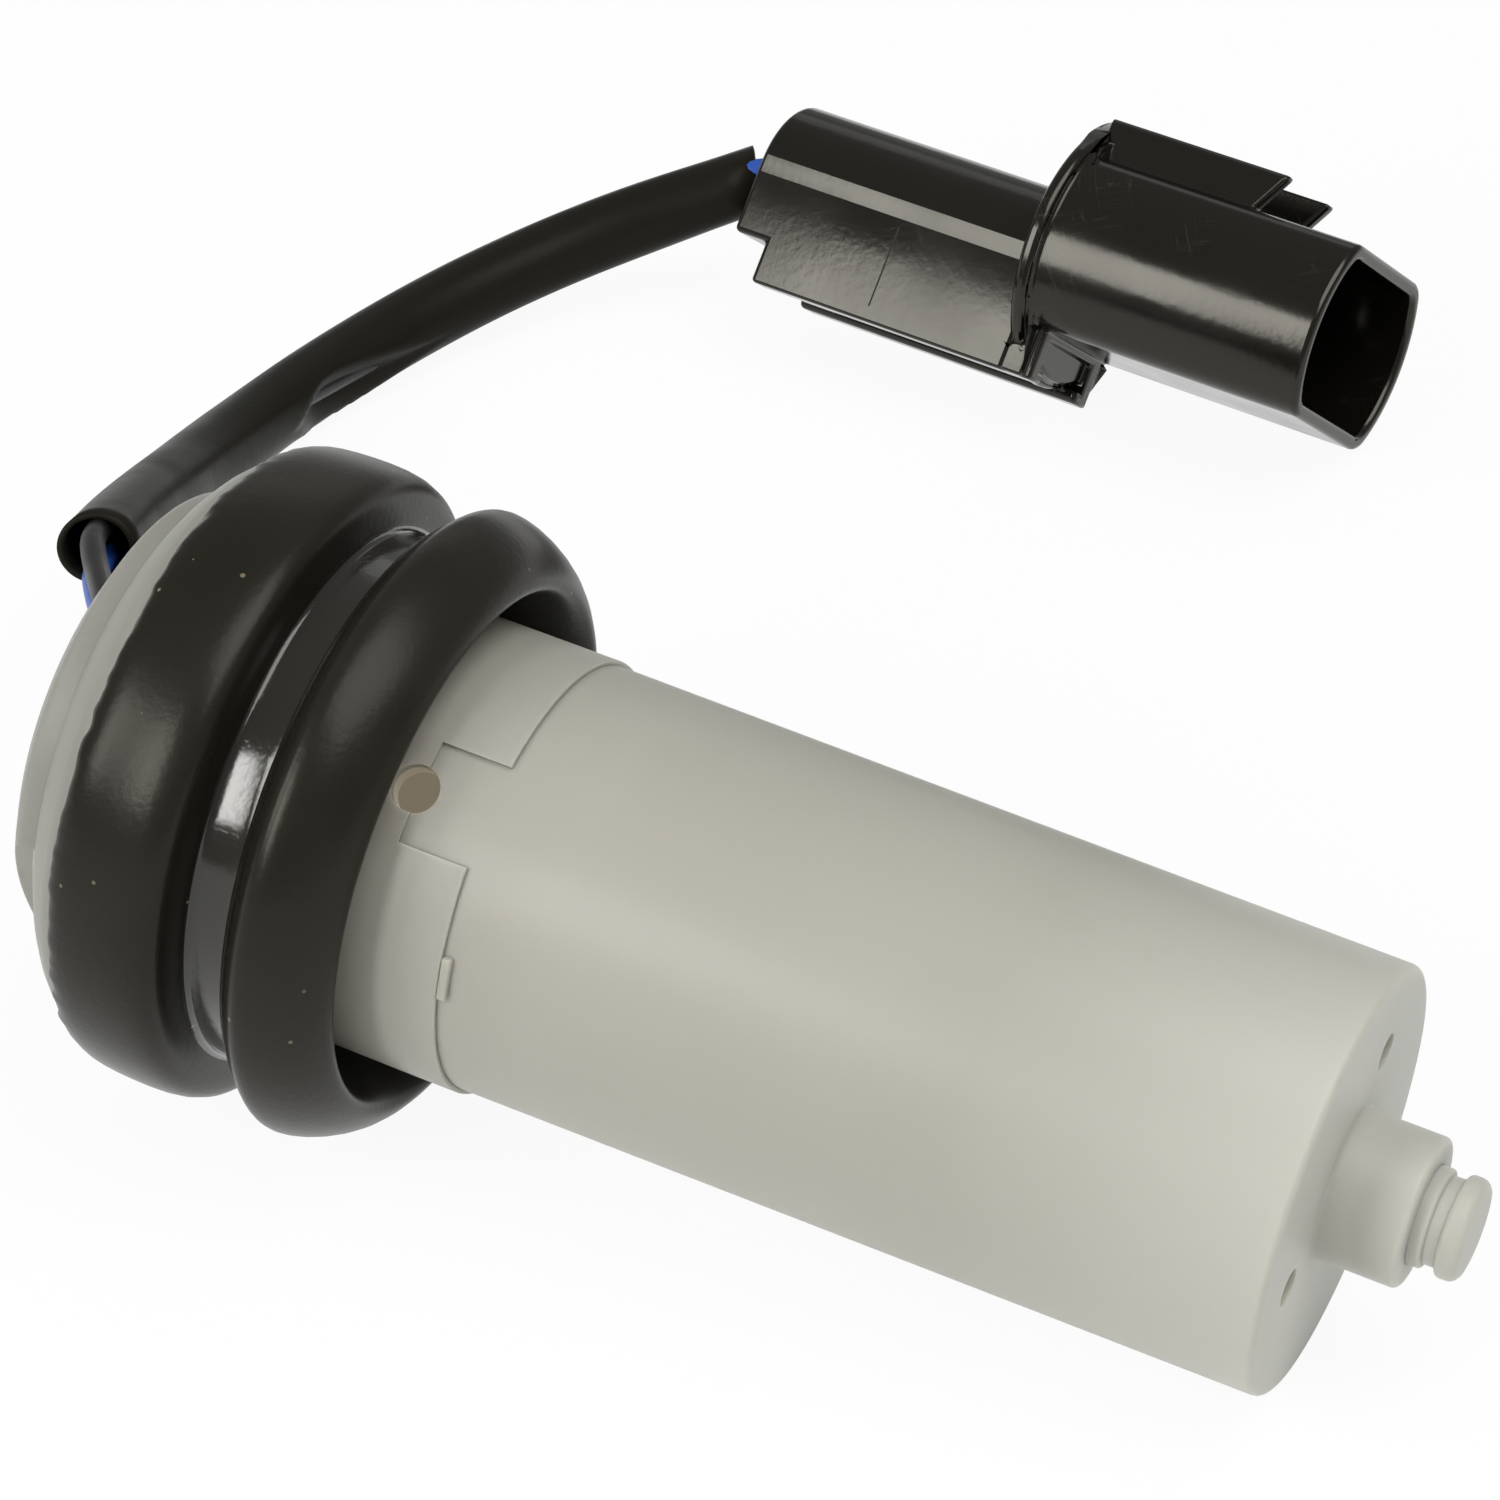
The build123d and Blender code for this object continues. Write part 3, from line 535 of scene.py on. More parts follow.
def along(tree, place, matrix):
    """Coordinates in the sensor's or connector's own frame, whole and split, in metres."""
    mapping = tree.nodes.new("ShaderNodeMapping")
    inverse = matrix.inverted()
    mapping.inputs["Location"].default_value = inverse.to_translation()
    mapping.inputs["Rotation"].default_value = inverse.to_euler()
    tree.links.new(place, mapping.inputs["Vector"])
    split = tree.nodes.new("ShaderNodeSeparateXYZ")
    tree.links.new(mapping.outputs["Vector"], split.inputs[0])
    return mapping.outputs["Vector"], split.outputs


def square(tree, value, middle, factor):
    """The square of a value's distance from a middle, times a factor."""
    away = math_node(tree, "ADD", value, -middle)
    return times(tree, times(tree, away, away), factor)


def within(tree, value, middle, reach):
    """One where a value lies within reach of a middle."""
    result = math_node(tree, "COMPARE", value, middle)
    result.node.inputs[2].default_value = reach
    return result


def wander(tree, grain, low, high):
    """A value that wanders between two levels with the grain's slow tone."""
    return map_range(tree, grain.outputs["Tone"], 0.3, 0.7, low, high)


def dust(tree, groups, place, scale, size, share, strength):
    """A mask of dust specks at a strength."""
    specks = place_group(tree, groups["specks"], place, Scale=scale, Size=size, Share=share)
    return times(tree, specks.outputs["Mask"], strength)


def distance_out(tree, local):
    """The distance from the local z axis."""
    squares = [times(tree, value, value) for value in (local[0], local[1])]
    return math_node(tree, "SQRT", math_node(tree, "ADD", *squares))


def milky_plastic(groups, colours):
    """Translucent white plastic: painted shade by the grommet, painted light toward its end, darker over the
    potting with painted shade there too, and a painted glow inside.
    """
    material, tree, shader, place = start_material("Milky plastic", 0.42, 0.3)
    _, local = along(tree, place, SENSOR)
    grain = place_group(tree, groups["grain"], place, Fine=1400.0, Slow=45.0)
    # Painted shade: darker toward the grommet
    tone = mix_colour(tree, map_range(tree, local[2], *GROMMET_SHADE_ZONE), colours.milky, colours.milky_grommet_shade)
    # Painted light: paler toward the chamber's end
    tone = mix_colour(tree, map_range(tree, local[2], *PAINTED_LIGHT_ZONE), tone, colours.milky_pale_and_painted_light)
    # Darker over the potting: partly the potting behind, partly painted shade
    tone = mix_colour(tree, map_range(tree, local[2], *POTTING_AND_SHADE_ZONE), tone, colours.milky_potting_and_shade)
    uneven = map_range(tree, grain.outputs["Tone"], 0.35, 0.65, 0.0, 0.12)
    tone = mix_colour(tree, uneven, tone, colours.milky_pale_and_painted_light)
    dirty = dust(tree, groups, place, 160.0, 0.05, 0.03, 0.35)
    tone = mix_colour(tree, dirty, tone, (0.16, 0.13, 0.09))
    shader.inputs["Subsurface Radius"].default_value = (1.0, 0.92, 0.75)
    # Painted glow: emission on the inner surfaces in place of light coming through the walls
    inner = times(
        tree,
        math_node(tree, "LESS_THAN", distance_out(tree, local), GLOW_RADIUS),
        math_node(tree, "GREATER_THAN", local[2], GLOW_FLOOR),
    )
    values = {
        "Base Color": tone,
        "Roughness": wander(tree, grain, 0.38, 0.48),
        "Subsurface Weight": 0.7,
        "Subsurface Scale": 0.0015,
        "Emission Color": mix_colour(tree, inner, (0.0, 0.0, 0.0), colours.milky_painted_glow),
        "Emission Strength": 1.0,
    }
    dress(tree, shader, values)
    add_bump(tree, shader, grain.outputs["Height"], 0.00002, 0.5)
    return material


def grommet_rubber(groups, colours):
    """Dusty black rubber: satin on its bands, glossy and rippled in the groove."""
    material, tree, shader, place = start_material("Grommet rubber", 0.42, 0.2, WARM)
    _, local = along(tree, place, SENSOR)
    grain = place_group(tree, groups["grain"], place, Fine=2200.0, Slow=90.0)
    low = math_node(tree, "GREATER_THAN", local[2], GROOVE_ZONE[0])
    groove = times(tree, low, math_node(tree, "LESS_THAN", local[2], GROOVE_ZONE[1]))
    worn = map_range(tree, grain.outputs["Tone"], 0.4, 0.7)
    tone = mix_colour(tree, worn, colours.rubber, (0.016, 0.0145, 0.011))
    tone = mix_colour(tree, dust(tree, groups, place, 900.0, 0.16, 0.13, 0.8), tone, colours.dust)
    rough = math_node(tree, "SUBTRACT", wander(tree, grain, 0.25, 0.35), times(tree, groove, 0.16))
    fine = times(tree, grain.outputs["Height"], 0.5)
    ripple = times(tree, noise_value(tree, place, 2200.0), times(tree, groove, 0.45))
    add_bump(tree, shader, math_node(tree, "ADD", fine, ripple), 0.00005, 0.6)
    values = {
        "Base Color": tone,
        "Roughness": rough,
        "Coat Weight": times(tree, groove, 0.9),
        "Coat Roughness": 0.12,
    }
    dress(tree, shader, values)
    return material


def housing_plastic(groups, colours):
    """Glossy black nylon: fine scratches, dust, a faint parting line and bowed flats."""
    material, tree, shader, place = start_material("Housing plastic", 0.2, 0.45, WARM)
    local_place, local = along(tree, place, CONNECTOR)
    grain = place_group(tree, groups["grain"], place, Fine=1500.0, Slow=120.0)
    scratches = [
        place_group(tree, groups["scratches"], local_place, Scale=scale, Turn=turn, Width=width)
        for scale, turn, width in ((110.0, 0.5, 0.006), (90.0, -0.9, 0.005))
    ]
    marks = times(tree, math_node(tree, "MAXIMUM", *(node.outputs["Mask"] for node in scratches)), 0.07)
    dirt = dust(tree, groups, place, 500.0, 0.07, 0.05, 0.4)
    tone = mix_colour(tree, math_node(tree, "MAXIMUM", marks, dirt), colours.housing, colours.dust)
    tree.links.new(tone, shader.inputs["Base Color"])
    near = math_node(tree, "LESS_THAN", local[0], FLAT_SIDE)
    seam = math_node(tree, "LESS_THAN", local[0], SEAM_SIDE)
    seam = times(tree, seam, within(tree, local[2], SEAM_STATION, SEAM_REACH))
    seam = times(tree, seam, within(tree, local[1], SEAM_MIDDLE, SEAM_RUN))
    rubbed = math_node(tree, "MAXIMUM", times(tree, marks, 0.6), times(tree, seam, 0.5))
    rough = math_node(tree, "ADD", wander(tree, grain, 0.11, 0.2), rubbed)
    tree.links.new(rough, shader.inputs["Roughness"])
    height = math_node(tree, "SUBTRACT", times(tree, grain.outputs["Height"], 0.25), seam)
    behind = times(tree, near, math_node(tree, "LESS_THAN", local[2], FLAT_START))
    lower = times(tree, behind, math_node(tree, "LESS_THAN", local[1], FLAT_TOP))
    guard = times(tree, near, math_node(tree, "GREATER_THAN", local[1], GUARD_BOTTOM))
    bow = square(tree, local[1], BOW_MIDDLE, -250000.0)
    bow = times(tree, bow, math_node(tree, "MAXIMUM", lower, guard))
    strip = times(tree, behind, within(tree, local[1], STRIP_MIDDLE, STRIP_REACH))
    strip = times(tree, strip, square(tree, local[1], STRIP_CREST, 1450000.0))
    height = math_node(tree, "ADD", math_node(tree, "ADD", height, bow), strip)
    add_bump(tree, shader, height, 0.00003, 1.0)
    return material


def sleeve_vinyl(groups, colours):
    """Soft black vinyl with a faint sheen and a few specks."""
    material, tree, shader, place = start_material("Sleeve vinyl", 0.38, 0.06, WARM)
    grain = place_group(tree, groups["grain"], place, Fine=1800.0, Slow=160.0)
    dirt = dust(tree, groups, place, 300.0, 0.08, 0.05, 0.5)
    tone = mix_colour(tree, dirt, colours.vinyl, colours.dust)
    dress(tree, shader, {"Base Color": tone, "Roughness": wander(tree, grain, 0.3, 0.42)})
    add_bump(tree, shader, grain.outputs["Height"], 0.00003, 0.5)
    return material


def simple_finish(groups, name, base, roughness, metallic=0.0, fine=1500.0, depth=0.00003):
    """A finish with fine grain and a slow change of tone and roughness."""
    material, tree, shader, place = start_material(name, roughness, 0.3)
    grain = place_group(tree, groups["grain"], place, Fine=fine, Slow=180.0)
    darker = tuple(channel * 0.8 for channel in base)
    factor = map_range(tree, grain.outputs["Tone"], 0.35, 0.65)
    values = {
        "Base Color": mix_colour(tree, factor, base, darker),
        "Roughness": wander(tree, grain, roughness * 0.85, roughness * 1.2),
        "Metallic": metallic,
    }
    dress(tree, shader, values)
    add_bump(tree, shader, grain.outputs["Height"], depth, 0.5)
    return material


def reed_glass(groups):
    """Clear green-tinted glass with a faintly uneven surface."""
    material = simple_finish(groups, "Reed glass", (0.75, 0.9, 0.82), 0.05, 0.0, 600.0, 0.00001)
    material.node_tree.nodes["Principled BSDF"].inputs["Transmission Weight"].default_value = 0.9
    return material


FINISHES = {}


def build_finishes():
    """All finishes, each made once."""
    groups = {
        "specks": build_speck_group(),
        "scratches": build_scratch_group(),
        "grain": build_grain_group(),
    }
    colours = bpy.context.scene.level_sensor_colours
    FINISHES.update(
        milky=milky_plastic(groups, colours),
        rubber=grommet_rubber(groups, colours),
        housing=housing_plastic(groups, colours),
        vinyl=sleeve_vinyl(groups, colours),
        blue=simple_finish(groups, "Blue insulation", tuple(colours.blue), 0.38),
        black=simple_finish(groups, "Black insulation", tuple(colours.black), 0.38),
        resin=simple_finish(groups, "Potting resin", (0.02, 0.02, 0.02), 0.12, 0.0, 300.0, 0.00008),
        blade=simple_finish(groups, "Tin plating", (0.62, 0.61, 0.57), 0.28, 1.0, 3000.0),
        brass=simple_finish(groups, "Crimp brass", (0.6, 0.42, 0.18), 0.32, 1.0, 3000.0),
        seal=simple_finish(groups, "Seal rubber", (0.20, 0.21, 0.20), 0.6),
        retainer=simple_finish(groups, "Retainer nylon", (0.02, 0.02, 0.019), 0.35),
        foam=simple_finish(groups, "Float foam", (0.10, 0.10, 0.10), 0.7, 0.0, 4000.0, 0.0001),
        ferrite=simple_finish(groups, "Ferrite", (0.035, 0.035, 0.038), 0.55, 0.1, 2500.0, 0.00008),
        glass=reed_glass(groups),
    )


class SENSOR_OT_stage(bpy.types.Operator):
    """Build the floor, lights and camera"""

    bl_idname = "level_sensor.stage"
    bl_label = "Stage"

    def execute(self, context):
        settings = context.scene.level_sensor_stage
        scene = context.scene
        scene.view_settings.view_transform = "Standard"
        self.floor()
        self.world(scene, settings.world_level)
        for name, azimuth, elevation, distance, size, label in LAMPS:
            self.softbox(name, azimuth, elevation, distance, size, getattr(settings, label))
        self.camera(scene, settings)
        return {"FINISHED"}

    @staticmethod
    def floor():
        """A pale floor that shows white and keeps the object's soft shadow."""
        bm = bmesh.new()
        bmesh.ops.create_circle(bm, cap_ends=True, segments=64, radius=FLOOR_RADIUS)
        floor = mesh_object("Floor", bm)
        material = bpy.data.materials.new("Pale floor")
        material.use_nodes = True
        tree = material.node_tree
        shader = tree.nodes["Principled BSDF"]
        values = {"Base Color": (0.86, 0.86, 0.86), "Roughness": 0.9, "Specular IOR Level": 0.0}
        dress(tree, shader, values)
        glow = tree.nodes.new("ShaderNodeEmission")
        glow.inputs["Strength"].default_value = 1.0
        rays = tree.nodes.new("ShaderNodeLightPath")
        seen = math_node(tree, "MAXIMUM", rays.outputs["Is Camera Ray"], rays.outputs["Is Glossy Ray"])
        seen = math_node(tree, "MAXIMUM", seen, rays.outputs["Is Transmission Ray"])
        blend = tree.nodes.new("ShaderNodeMixShader")
        tree.links.new(times(tree, seen, FLOOR_GLOW), blend.inputs[0])
        tree.links.new(shader.outputs[0], blend.inputs[1])
        tree.links.new(glow.outputs[0], blend.inputs[2])
        tree.links.new(blend.outputs[0], tree.nodes["Material Output"].inputs[0])
        floor.data.materials.append(material)

    @staticmethod
    def world(scene, level):
        """An even pale surrounding."""
        world = bpy.data.worlds.new("Studio")
        world.use_nodes = True
        background = world.node_tree.nodes["Background"]
        background.inputs["Color"].default_value = (1.0, 1.0, 1.0, 1)
        background.inputs["Strength"].default_value = level
        scene.world = world

    @staticmethod
    def outward(azimuth, elevation):
        """The way out from the object at an azimuth and elevation in degrees."""
        turn, lift = math.radians(azimuth), math.radians(elevation)
        return Vector(
            (math.sin(turn) * math.cos(lift), -math.cos(turn) * math.cos(lift), math.sin(lift))
        )

    def softbox(self, name, azimuth, elevation, distance, size, power):
        """An area light round the object that faces its middle."""
        out = self.outward(azimuth, elevation)
        lamp = bpy.data.lights.new(name, "AREA")
        lamp.shape = "RECTANGLE"
        lamp.size, lamp.size_y = size
        lamp.energy = power
        piece = add_object(name, lamp)
        middle = (cad_low + cad_high) / 2
        turn = out.to_track_quat("Z", "Y").to_matrix().to_4x4()
        piece.matrix_world = Matrix.Translation(middle + out * distance) @ turn

    def camera(self, scene, settings):
        """The camera at the photograph's place and angle."""
        lens = bpy.data.cameras.new("Camera")
        lens.sensor_width = 36.0
        lens.lens = settings.focal_pixels / PHOTO_PIXELS * lens.sensor_width
        lens.clip_start = 0.01
        lens.clip_end = 50.0
        back = self.outward(CAMERA_AZIMUTH, CAMERA_ELEVATION)
        turn = math.radians(CAMERA_AZIMUTH)
        right = Vector((math.cos(turn), math.sin(turn), 0))
        camera = add_object("Camera", lens)
        camera.matrix_world = axes_at(settings.camera_place, right, back.cross(right), back)
        scene.camera = camera


# Routes of the lead, in metres, and the turn of its two wires in degrees
SLEEVE_POINTS = (
    (-0.06025, 0.0223, 0.0183), (-0.0669, 0.0405, 0.0103), (-0.0706, 0.0580, 0.0049),
    (-0.0703, 0.0730, 0.0033), (-0.0658, 0.0863, 0.0042), (-0.0580, 0.0958, 0.0069),
    (-0.0494, 0.1004, 0.0103),
)
CAP_TURN_POINTS = ((-0.0495, 0.0074, 0.0218), (-0.05816, 0.01848, 0.01943))
LEAD_TWIST = (180, 180, 180, 180, 135, 90, 45, 0, 0)

# Heights on the sensor and stations behind the connector's mouth, in millimetres
WIRE_INSIDE_CAP = 76.2
WIRE_LEAVES_CAP = 83.2
CAVITY_HALF_PITCH = 2.6
CAVITY_DROP = 1.0
WIRE_ENTRY = 48.2
WIRE_CRIMPED = 38.9

# The sleeve's dent: its run as shares of the length, its side and reach in degrees, its depth
DENT_START, DENT_END = 0.46, 0.73
DENT_RISE = 0.08
DENT_SIDE, DENT_REACH = 192, 50
DENT_DEPTH = 0.2
MOUTH_RUN = 0.07


def smooth_curve(name, points, radius):
    """A NURBS curve through its control points, round in section."""
    data = bpy.data.curves.new(name, "CURVE")
    data.dimensions = "3D"
    data.resolution_u = 16
    data.bevel_depth = radius
    data.bevel_resolution = 6
    data.use_fill_caps = True
    spline = data.splines.new("NURBS")
    spline.points.add(len(points) - 1)
    for target, point in zip(spline.points, points):
        target.co = (*point, 1)
    spline.order_u = 3
    spline.use_endpoint_u = True
    return add_object(name, data)


def centreline(points):
    """Points read from the NURBS line of a route."""
    guide = smooth_curve("guide", points, 0.0)
    mesh = final_mesh(guide)
    line = [vert.co.copy() for vert in mesh.vertices]
    bpy.data.meshes.remove(mesh)
    bpy.data.objects.remove(guide)
    return line


def line_length(line):
    """Length of a run of points."""
    return sum((b - a).length for a, b in zip(line, line[1:]))


def pair_direction(lead, index, twist):
    """The way from the lead's middle to its first wire, turned about the lead by its twist."""
    run = Vector(lead[min(index + 1, len(lead) - 1)]) - Vector(lead[max(index - 1, 0)])
    level = Vector((0, 0, 1)).cross(run).normalized()
    rise = run.normalized().cross(level)
    turn = math.radians(twist)
    return rise * math.cos(turn) + level * math.sin(turn)


class SENSOR_OT_sleeve(bpy.types.Operator):
    """Build the soft sleeve with its dents and open ends"""

    bl_idname = "level_sensor.sleeve"
    bl_label = "Protective sleeve"

    sides = 72

    def execute(self, context):
        sizes = context.scene.level_sensor_lead
        line = centreline(SLEEVE_POINTS)
        radius = sizes.sleeve_diameter / 2
        bm = bmesh.new()
        ring = bmesh.ops.create_circle(bm, cap_ends=False, segments=self.sides, radius=1.0)["verts"]
        seats = [math.atan2(vert.co.y, vert.co.x) for vert in ring]
        edges = bm.edges[:]
        total = line_length(line)
        gone = 0.0
        for index, point in enumerate(line):
            if index:
                gone += (point - line[index - 1]).length
                made = bmesh.ops.extrude_edge_only(bm, edges=edges)["geom"]
                edges = [item for item in made if isinstance(item, bmesh.types.BMEdge)]
                edges = [edge for edge in edges if all(vert not in ring for vert in edge.verts)]
                fresh = {vert for edge in edges for vert in edge.verts}
                ring = self.follow(ring, fresh)
            tangent = (line[min(index + 1, len(line) - 1)] - line[max(index - 1, 0)]).normalized()
            level = Vector((0, 0, 1)).cross(tangent).normalized()
            rise = tangent.cross(level)
            for vert, seat in zip(ring, seats):
                wide, tall = self.section(gone / total, seat)
                vert.co = point + level * (wide * radius) + rise * (tall * radius)
                if index == len(line) - 1:
                    vert.co += tangent * sizes.sleeve_overrun * (1 + 0.6 * math.sin(seat))
        sleeve = new_piece("sleeve", bm, Matrix(), FINISHES["vinyl"], smooth_angle=180)
        wall = sleeve.modifiers.new("wall", "SOLIDIFY")
        wall.thickness = sizes.sleeve_wall
        wall.offset = -1.0
        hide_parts("protective_sleeve")
        return {"FINISHED"}

    @staticmethod
    def follow(old, fresh):
        """The new ring's verts in the order of the old ring's."""
        return [
            next(edge.other_vert(vert) for edge in vert.link_edges if edge.other_vert(vert) in fresh)
            for vert in old
        ]

    @staticmethod
    def section(share, seat):
        """Half width and half height of the section at a share of the length, in radii."""
        wide, tall = math.cos(seat), math.sin(seat)
        mouth = math.exp(-((share / MOUTH_RUN) ** 2))
        tail = math.exp(-(((1 - share) / MOUTH_RUN) ** 2))
        wide *= 1 - 0.04 * mouth + 0.04 * tail
        tall *= 1 - 0.14 * mouth - 0.10 * tail
        scale = 1 + 0.014 * noise.noise(Vector((wide * 1.3, tall * 1.3, share * 9)))
        rise = min(max((share - DENT_START) / DENT_RISE, 0), 1)
        fall = min(max((DENT_END - share) / (DENT_END - DENT_START - DENT_RISE), 0), 1)
        window = rise * rise * (3 - 2 * rise) * fall * fall * (3 - 2 * fall)
        half = math.radians(DENT_REACH) * window
        turn = (seat - math.radians(DENT_SIDE) + math.pi) % math.tau - math.pi
        if abs(turn) < half:
            hollow = 0.5 + 0.5 * math.cos(math.pi * turn / half)
            scale *= math.cos(half) / math.cos(turn) - DENT_DEPTH * window * hollow
        else:
            scale *= 1 + 0.035 * window * math.exp(-(((abs(turn) - half) / 0.25) ** 2))
        return wide * scale, tall * scale


class SENSOR_OT_wires(bpy.types.Operator):
    """Build the two insulated wires from the potting to the connector's crimps"""

    bl_idname = "level_sensor.wires"
    bl_label = "Wires"

    def execute(self, context):
        sizes = context.scene.level_sensor_lead
        lead = CAP_TURN_POINTS + SLEEVE_POINTS
        offset = sizes.wire_offset / MM
        for name, sign, finish in (("wire_blue", 1, "blue"), ("wire_black", -1, "black")):
            middle = [
                Vector(point) + pair_direction(lead, index, twist) * sign * sizes.wire_offset
                for index, (point, twist) in enumerate(zip(lead, LEAD_TWIST))
            ]
            side = -sign * CAVITY_HALF_PITCH
            points = [
                on_sensor(-sign * offset, 0, WIRE_INSIDE_CAP),
                on_sensor(-sign * offset, 0, WIRE_LEAVES_CAP),
                *middle,
                on_connector(side, -CAVITY_DROP, WIRE_ENTRY),
                on_connector(side, -CAVITY_DROP, WIRE_CRIMPED),
            ]
            wire = smooth_curve("insulated_" + name, points, sizes.wire_diameter / 2)
            wire.data.materials.append(FINISHES[finish])
            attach(wire, SENSOR_BODY)
            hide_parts(name)
            round(line_length(centreline(points)), 4)
        return {"FINISHED"}


class SENSOR_OT_chamber(bpy.types.Operator):
    """Build the float chamber with its boss, inlets, vent and gate mark"""

    bl_idname = "level_sensor.chamber"
    bl_label = "Float chamber"

    def execute(self, context):
        sizes = context.scene.level_sensor_sizes
        end, top = sizes.chamber_radius / MM, sizes.chamber_top / MM
        edge = sizes.skirt_edge / MM
        profile = (
            (3.15, -5.2), (4.7, -5.2, 0.4), (4.7, 0.0, 0.35), (end, 0.0, 0.55),
            (end + (top - end) * 0.5, edge * 0.5), (top, edge), (top, 57.6),
            (top - 0.3, 57.6), (top - 0.3, 61.5, 0.3), (top - 1.5, 61.5),
            (end - 1.2, 2.0, 0.8), (5.2, 2.0), (5.2, 3.0), (3.15, 3.0),
        )
        chamber = new_piece("chamber", spun(profile, 128), SENSOR, FINISHES["milky"])
        tools = []
        for angle in INLET_ANGLES:
            turn = math.radians(angle)
            out = Vector((math.cos(turn), math.sin(turn), 0))
            place = SENSOR @ Matrix.Translation(out * INLET_SPREAD * MM)
            tools.append(cutter(round_cutter(1.2, -1.0, 3.0), place))
        tools.append(cutter(round_cutter(1.5, 9.0, 18.0), facing(*VENT)))
        cut(chamber, tools)
        smooth(chamber, 35)
        soften(chamber, 0.12 * MM)
        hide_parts("float_chamber")
        gate = block(0.62, 2.9, 0.9, (0, 0, 13.78))
        round_off(gate, gate.edges[:], 0.16, 2, "EDGES")
        new_piece("gate_mark", gate, facing(*GATE_MARK), FINISHES["milky"])
        return {"FINISHED"}


class SENSOR_OT_head_cap(bpy.types.Operator):
    """Build the head cap: disc, flange, skirt with its notch, stem and end pin"""

    bl_idname = "level_sensor.head_cap"
    bl_label = "Head cap"

    def execute(self, context):
        sizes = context.scene.level_sensor_sizes
        skirt, edge = sizes.skirt_radius / MM, sizes.skirt_edge / MM
        flange, disc = sizes.flange_radius / MM, sizes.disc_radius / MM
        profile = (
            (0.0, -8.35), (3.2, -8.35, 0.7), (3.2, -7.0, 0.25), (2.75, -6.85), (2.75, -6.1),
            (3.1, -6.0, 0.15), (3.1, 57.0), (5.2, 57.0), (5.2, 70.4), (9.1, 70.4),
            (9.1, 73.6), (skirt - 1.9, 73.6), (skirt - 1.9, 61.5), (13.55, 61.5),
            (13.55, 57.6), (13.86, 57.6), (13.86, edge), (skirt, edge, 0.1), (skirt, 75.7),
            (flange, 75.7), (flange, 76.5, 0.6), (disc + 2.0, 78.75, 2.4), (disc, 79.45, 0.5),
            (disc - 0.1, 80.95, 0.45), (12.3, 82.75, 1.2), (7.5, 82.8, 0.5), (7.5, 72.0),
            (2.0, 72.0), (2.0, 4.5), (0.0, 4.5),
        )
        cap = new_piece("cap", spun(profile, 128), SENSOR, FINISHES["milky"])
        tools = [
            cutter(block(4.8, 6.6, 6.0, (2.2, 0, 15.0)), facing(NOTCH_ANGLE, edge)),
            cutter(round_cutter(1.5, 12.0, 18.0), facing(*VENT)),
            cutter(block(6.0, 20.0, 6.0, (3.0, 0, 16.7)), facing(*CAP_CHORD)),
        ]
        cut(cap, tools)
        smooth(cap, 35)
        soften(cap, 0.1 * MM)
        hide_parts("head_cap")
        return {"FINISHED"}


class SENSOR_OT_grommet(bpy.types.Operator):
    """Build the grommet: band, groove, bead, hollow lip and ragged flash line"""

    bl_idname = "level_sensor.grommet"
    bl_label = "Grommet"

    steps = 256

    def execute(self, context):
        sizes = context.scene.level_sensor_sizes
        bead, band = sizes.bead_radius / MM, sizes.band_radius / MM
        floor = sizes.groove_radius / MM
        profile = (
            (14.2, 64.6), (14.3, 63.4), (15.3, 61.3), (16.2, 59.4), (16.65, 58.3),
            (17.1, 57.9), (17.7, 58.1), (18.9, 59.0), (20.0, 60.8), (bead, 62.4),
            (bead - 0.02, 63.1), (bead - 0.3, 63.5), (bead - 1.2, 64.45), (bead - 1.7, 64.85),
            (18.5, 64.93), (floor + 0.15, 64.95), (floor, 65.1), (floor, 66.5), (floor, 68.0),
            (floor + 0.15, 68.2), (18.5, 68.3), (19.5, 68.4), (20.45, 68.8), (band, 70.4),
            (band, 72.6), (band - 0.12, 74.5), (band - 0.35, 75.4), (20.1, 75.85),
            (19.75, 76.0), (19.55, 75.95), (19.45, 75.7), (17.0, 75.68), (14.2, 75.68),
        )
        bm = spun(profile, self.steps)
        self.rag(bm, sizes.flash_depth)
        grommet = new_piece(
            "rubber_grommet", bm, SENSOR, FINISHES["rubber"], smooth_angle=180
        )
        rounded = grommet.modifiers.new("rounded", "SUBSURF")
        rounded.levels = rounded.render_levels = 1
        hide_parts("grommet")
        return {"FINISHED"}

    @staticmethod
    def rag(bm, depth):
        """Moves the flash rim in and out along the axis in uneven small waves."""
        for vert in bm.verts:
            radius, height = math.hypot(vert.co.x, vert.co.y) / MM, vert.co.z / MM
            if radius > 19.4 and 75.8 < height < 76.1:
                around = Vector((vert.co.x, vert.co.y, 0)) / MM
                slow = 0.4 * noise.noise(around * 0.5)
                sharp = 1.1 * abs(noise.noise(around * 1.2 + Vector((7, 3, 0))))
                vert.co.z += depth * (slow + sharp)


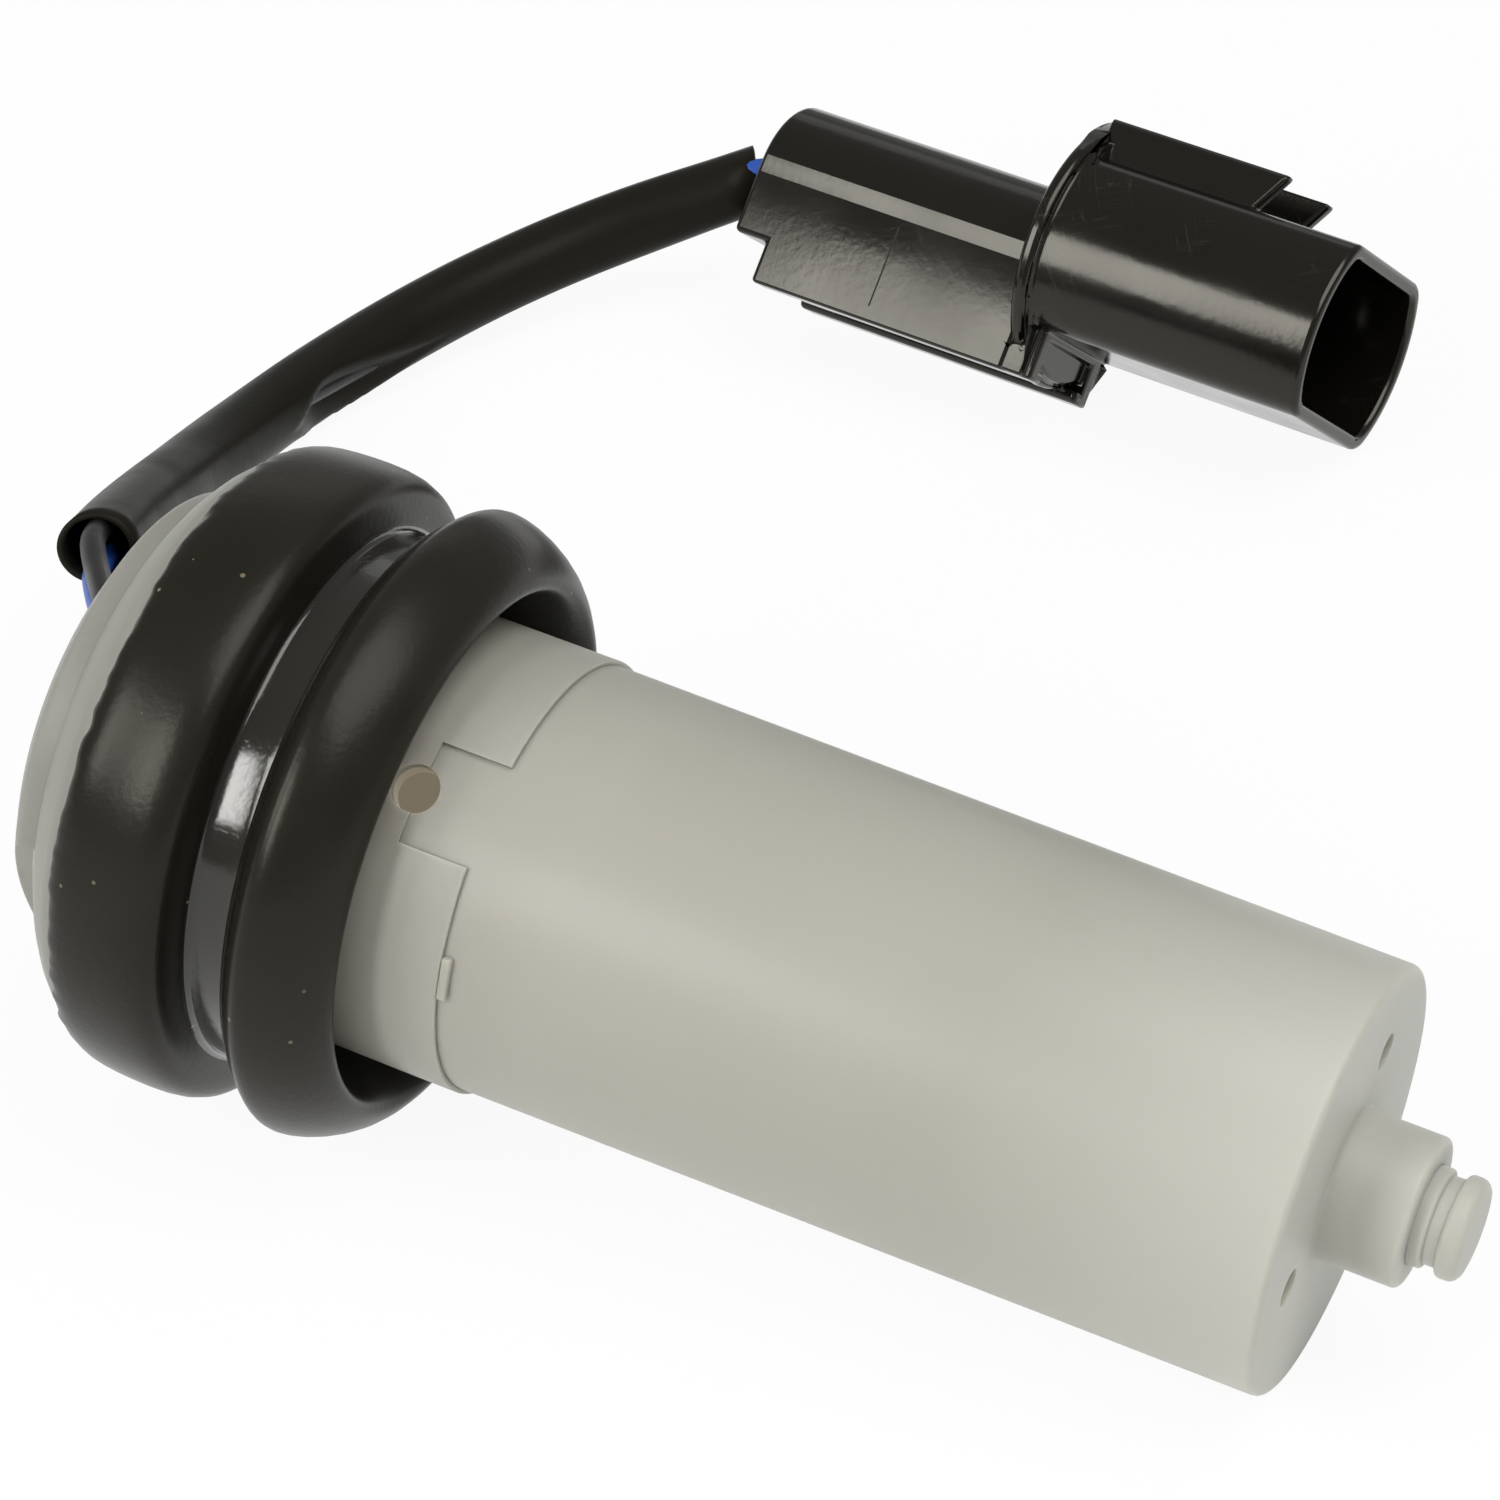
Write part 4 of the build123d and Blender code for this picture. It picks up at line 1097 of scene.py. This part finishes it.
class SENSOR_OT_connector(bpy.types.Operator):
    """Build the connector housing with softened moulded edges"""

    bl_idname = "level_sensor.connector"
    bl_label = "Connector"

    def execute(self, context):
        sizes = context.scene.level_sensor_lead
        bm = bmesh.new()
        bm.from_mesh(frame["nodes"]["connector_housing"].data)
        bmesh.ops.remove_doubles(bm, verts=bm.verts, dist=2e-6)
        bmesh.ops.dissolve_limit(
            bm, angle_limit=math.radians(1.0), verts=bm.verts, edges=bm.edges,
            use_dissolve_boundaries=False,
        )
        connector = new_piece(
            "connector", bm, Matrix(), FINISHES["housing"], smooth_angle=30
        )
        self.weigh_edges(connector.data, sizes.edge_round)
        bevel = soften(connector, sizes.edge_round, segments=3)
        bevel.limit_method = "WEIGHT"
        bevel.use_clamp_overlap = False
        bevel.harden_normals = False
        connector.modifiers.new("even flats", "WEIGHTED_NORMAL").keep_sharp = True
        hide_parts("connector_housing")
        return {"FINISHED"}

    @staticmethod
    def weigh_edges(mesh, width):
        """Gives each sharp edge a bevel weight that leaves its neighbours room."""
        bm = bmesh.new()
        bm.from_mesh(mesh)
        weights = bm.edges.layers.float.new("bevel_weight_edge")
        to_local = CONNECTOR.inverted()
        for edge in bm.edges:
            if len(edge.link_loops) != 2 or edge.calc_face_angle() < SHARP_ANGLE:
                continue
            middle = to_local @ ((edge.verts[0].co + edge.verts[1].co) / 2) / MM
            in_corner = middle.y > SHARP_CORNER_UP and abs(middle.x) < SHARP_CORNER_SIDE
            if in_corner and SHARP_CORNER_RUN[0] < middle.z < SHARP_CORNER_RUN[1]:
                continue
            room = edge.calc_length() * 1.5
            for loop in edge.link_loops:
                after = loop.link_loop_next
                for corner, other in ((loop, loop.link_loop_prev), (after, after)):
                    angle = corner.calc_angle()
                    if angle > math.radians(160):
                        continue
                    reach = other.edge.calc_length() * max(math.sin(angle), 0.0)
                    room = min(room, reach * 0.45 if angle > math.radians(30) else 0.0)
            edge[weights] = min(1.0, room / width)
        bm.to_mesh(mesh)
        bm.free()


class SENSOR_OT_inner_finishes(bpy.types.Operator):
    """Give the float, switch, potting, terminals and seals their finishes"""

    bl_idname = "level_sensor.inner_finishes"
    bl_label = "Inner finishes"

    nodes = {
        "foam": ["float_body", "float_lid"],
        "ferrite": ["float_magnet"],
        "glass": ["reed_glass"],
        "blade": [
            "reed_blade_lower", "reed_blade_upper", "return_lead", "terminal_blue", "terminal_black"
        ],
        "brass": ["splice_blue", "splice_black"],
        "resin": ["potting"],
        "retainer": ["terminal_retainer"],
        "seal": ["wire_seal_blue", "wire_seal_black"],
    }

    def execute(self, context):
        for finish, nodes in self.nodes.items():
            for node in nodes:
                materials = frame["nodes"][node].data.materials
                materials.clear()
                materials.append(FINISHES[finish])
        return {"FINISHED"}


class SENSOR_PT_panel(bpy.types.Panel):
    """Lists the sensor's pieces and sizes in the sidebar"""

    bl_idname = "SENSOR_PT_panel"
    bl_label = "Level Sensor"
    bl_space_type = "VIEW_3D"
    bl_region_type = "UI"
    bl_category = "Level Sensor"

    def draw(self, context):
        layout = self.layout
        for operator in OPERATORS:
            layout.operator(operator.bl_idname)
        for name, group in PROPERTY_GROUPS.items():
            box = layout.box()
            box.label(text=group.__doc__.strip().splitlines()[0])
            for label in group.__annotations__:
                box.prop(getattr(context.scene, name), label)


OPERATORS = (
    SENSOR_OT_stage,
    SENSOR_OT_connector,
    SENSOR_OT_wires,
    SENSOR_OT_sleeve,
    SENSOR_OT_chamber,
    SENSOR_OT_head_cap,
    SENSOR_OT_grommet,
    SENSOR_OT_inner_finishes,
)
PROPERTY_GROUPS = {
    "level_sensor_sizes": SensorSizes,
    "level_sensor_lead": LeadSizes,
    "level_sensor_colours": FinishColours,
    "level_sensor_stage": StageSettings,
}


def register():
    """Registers the classes and their properties."""
    for group in PROPERTY_GROUPS.values():
        bpy.utils.register_class(group)
    for name, group in PROPERTY_GROUPS.items():
        setattr(bpy.types.Scene, name, bpy.props.PointerProperty(type=group))
    for cls in (*OPERATORS, SENSOR_PT_panel):
        bpy.utils.register_class(cls)


def unregister():
    """Removes the classes and their properties."""
    for cls in (SENSOR_PT_panel, *reversed(OPERATORS)):
        bpy.utils.unregister_class(cls)
    for name, group in PROPERTY_GROUPS.items():
        delattr(bpy.types.Scene, name)
        bpy.utils.unregister_class(group)


def main():
    """Builds everything in order."""
    register()
    build_finishes()
    for operator in OPERATORS:
        group, name = operator.bl_idname.split(".")
        getattr(getattr(bpy.ops, group), name)()


if __name__ == "__main__":
    main()
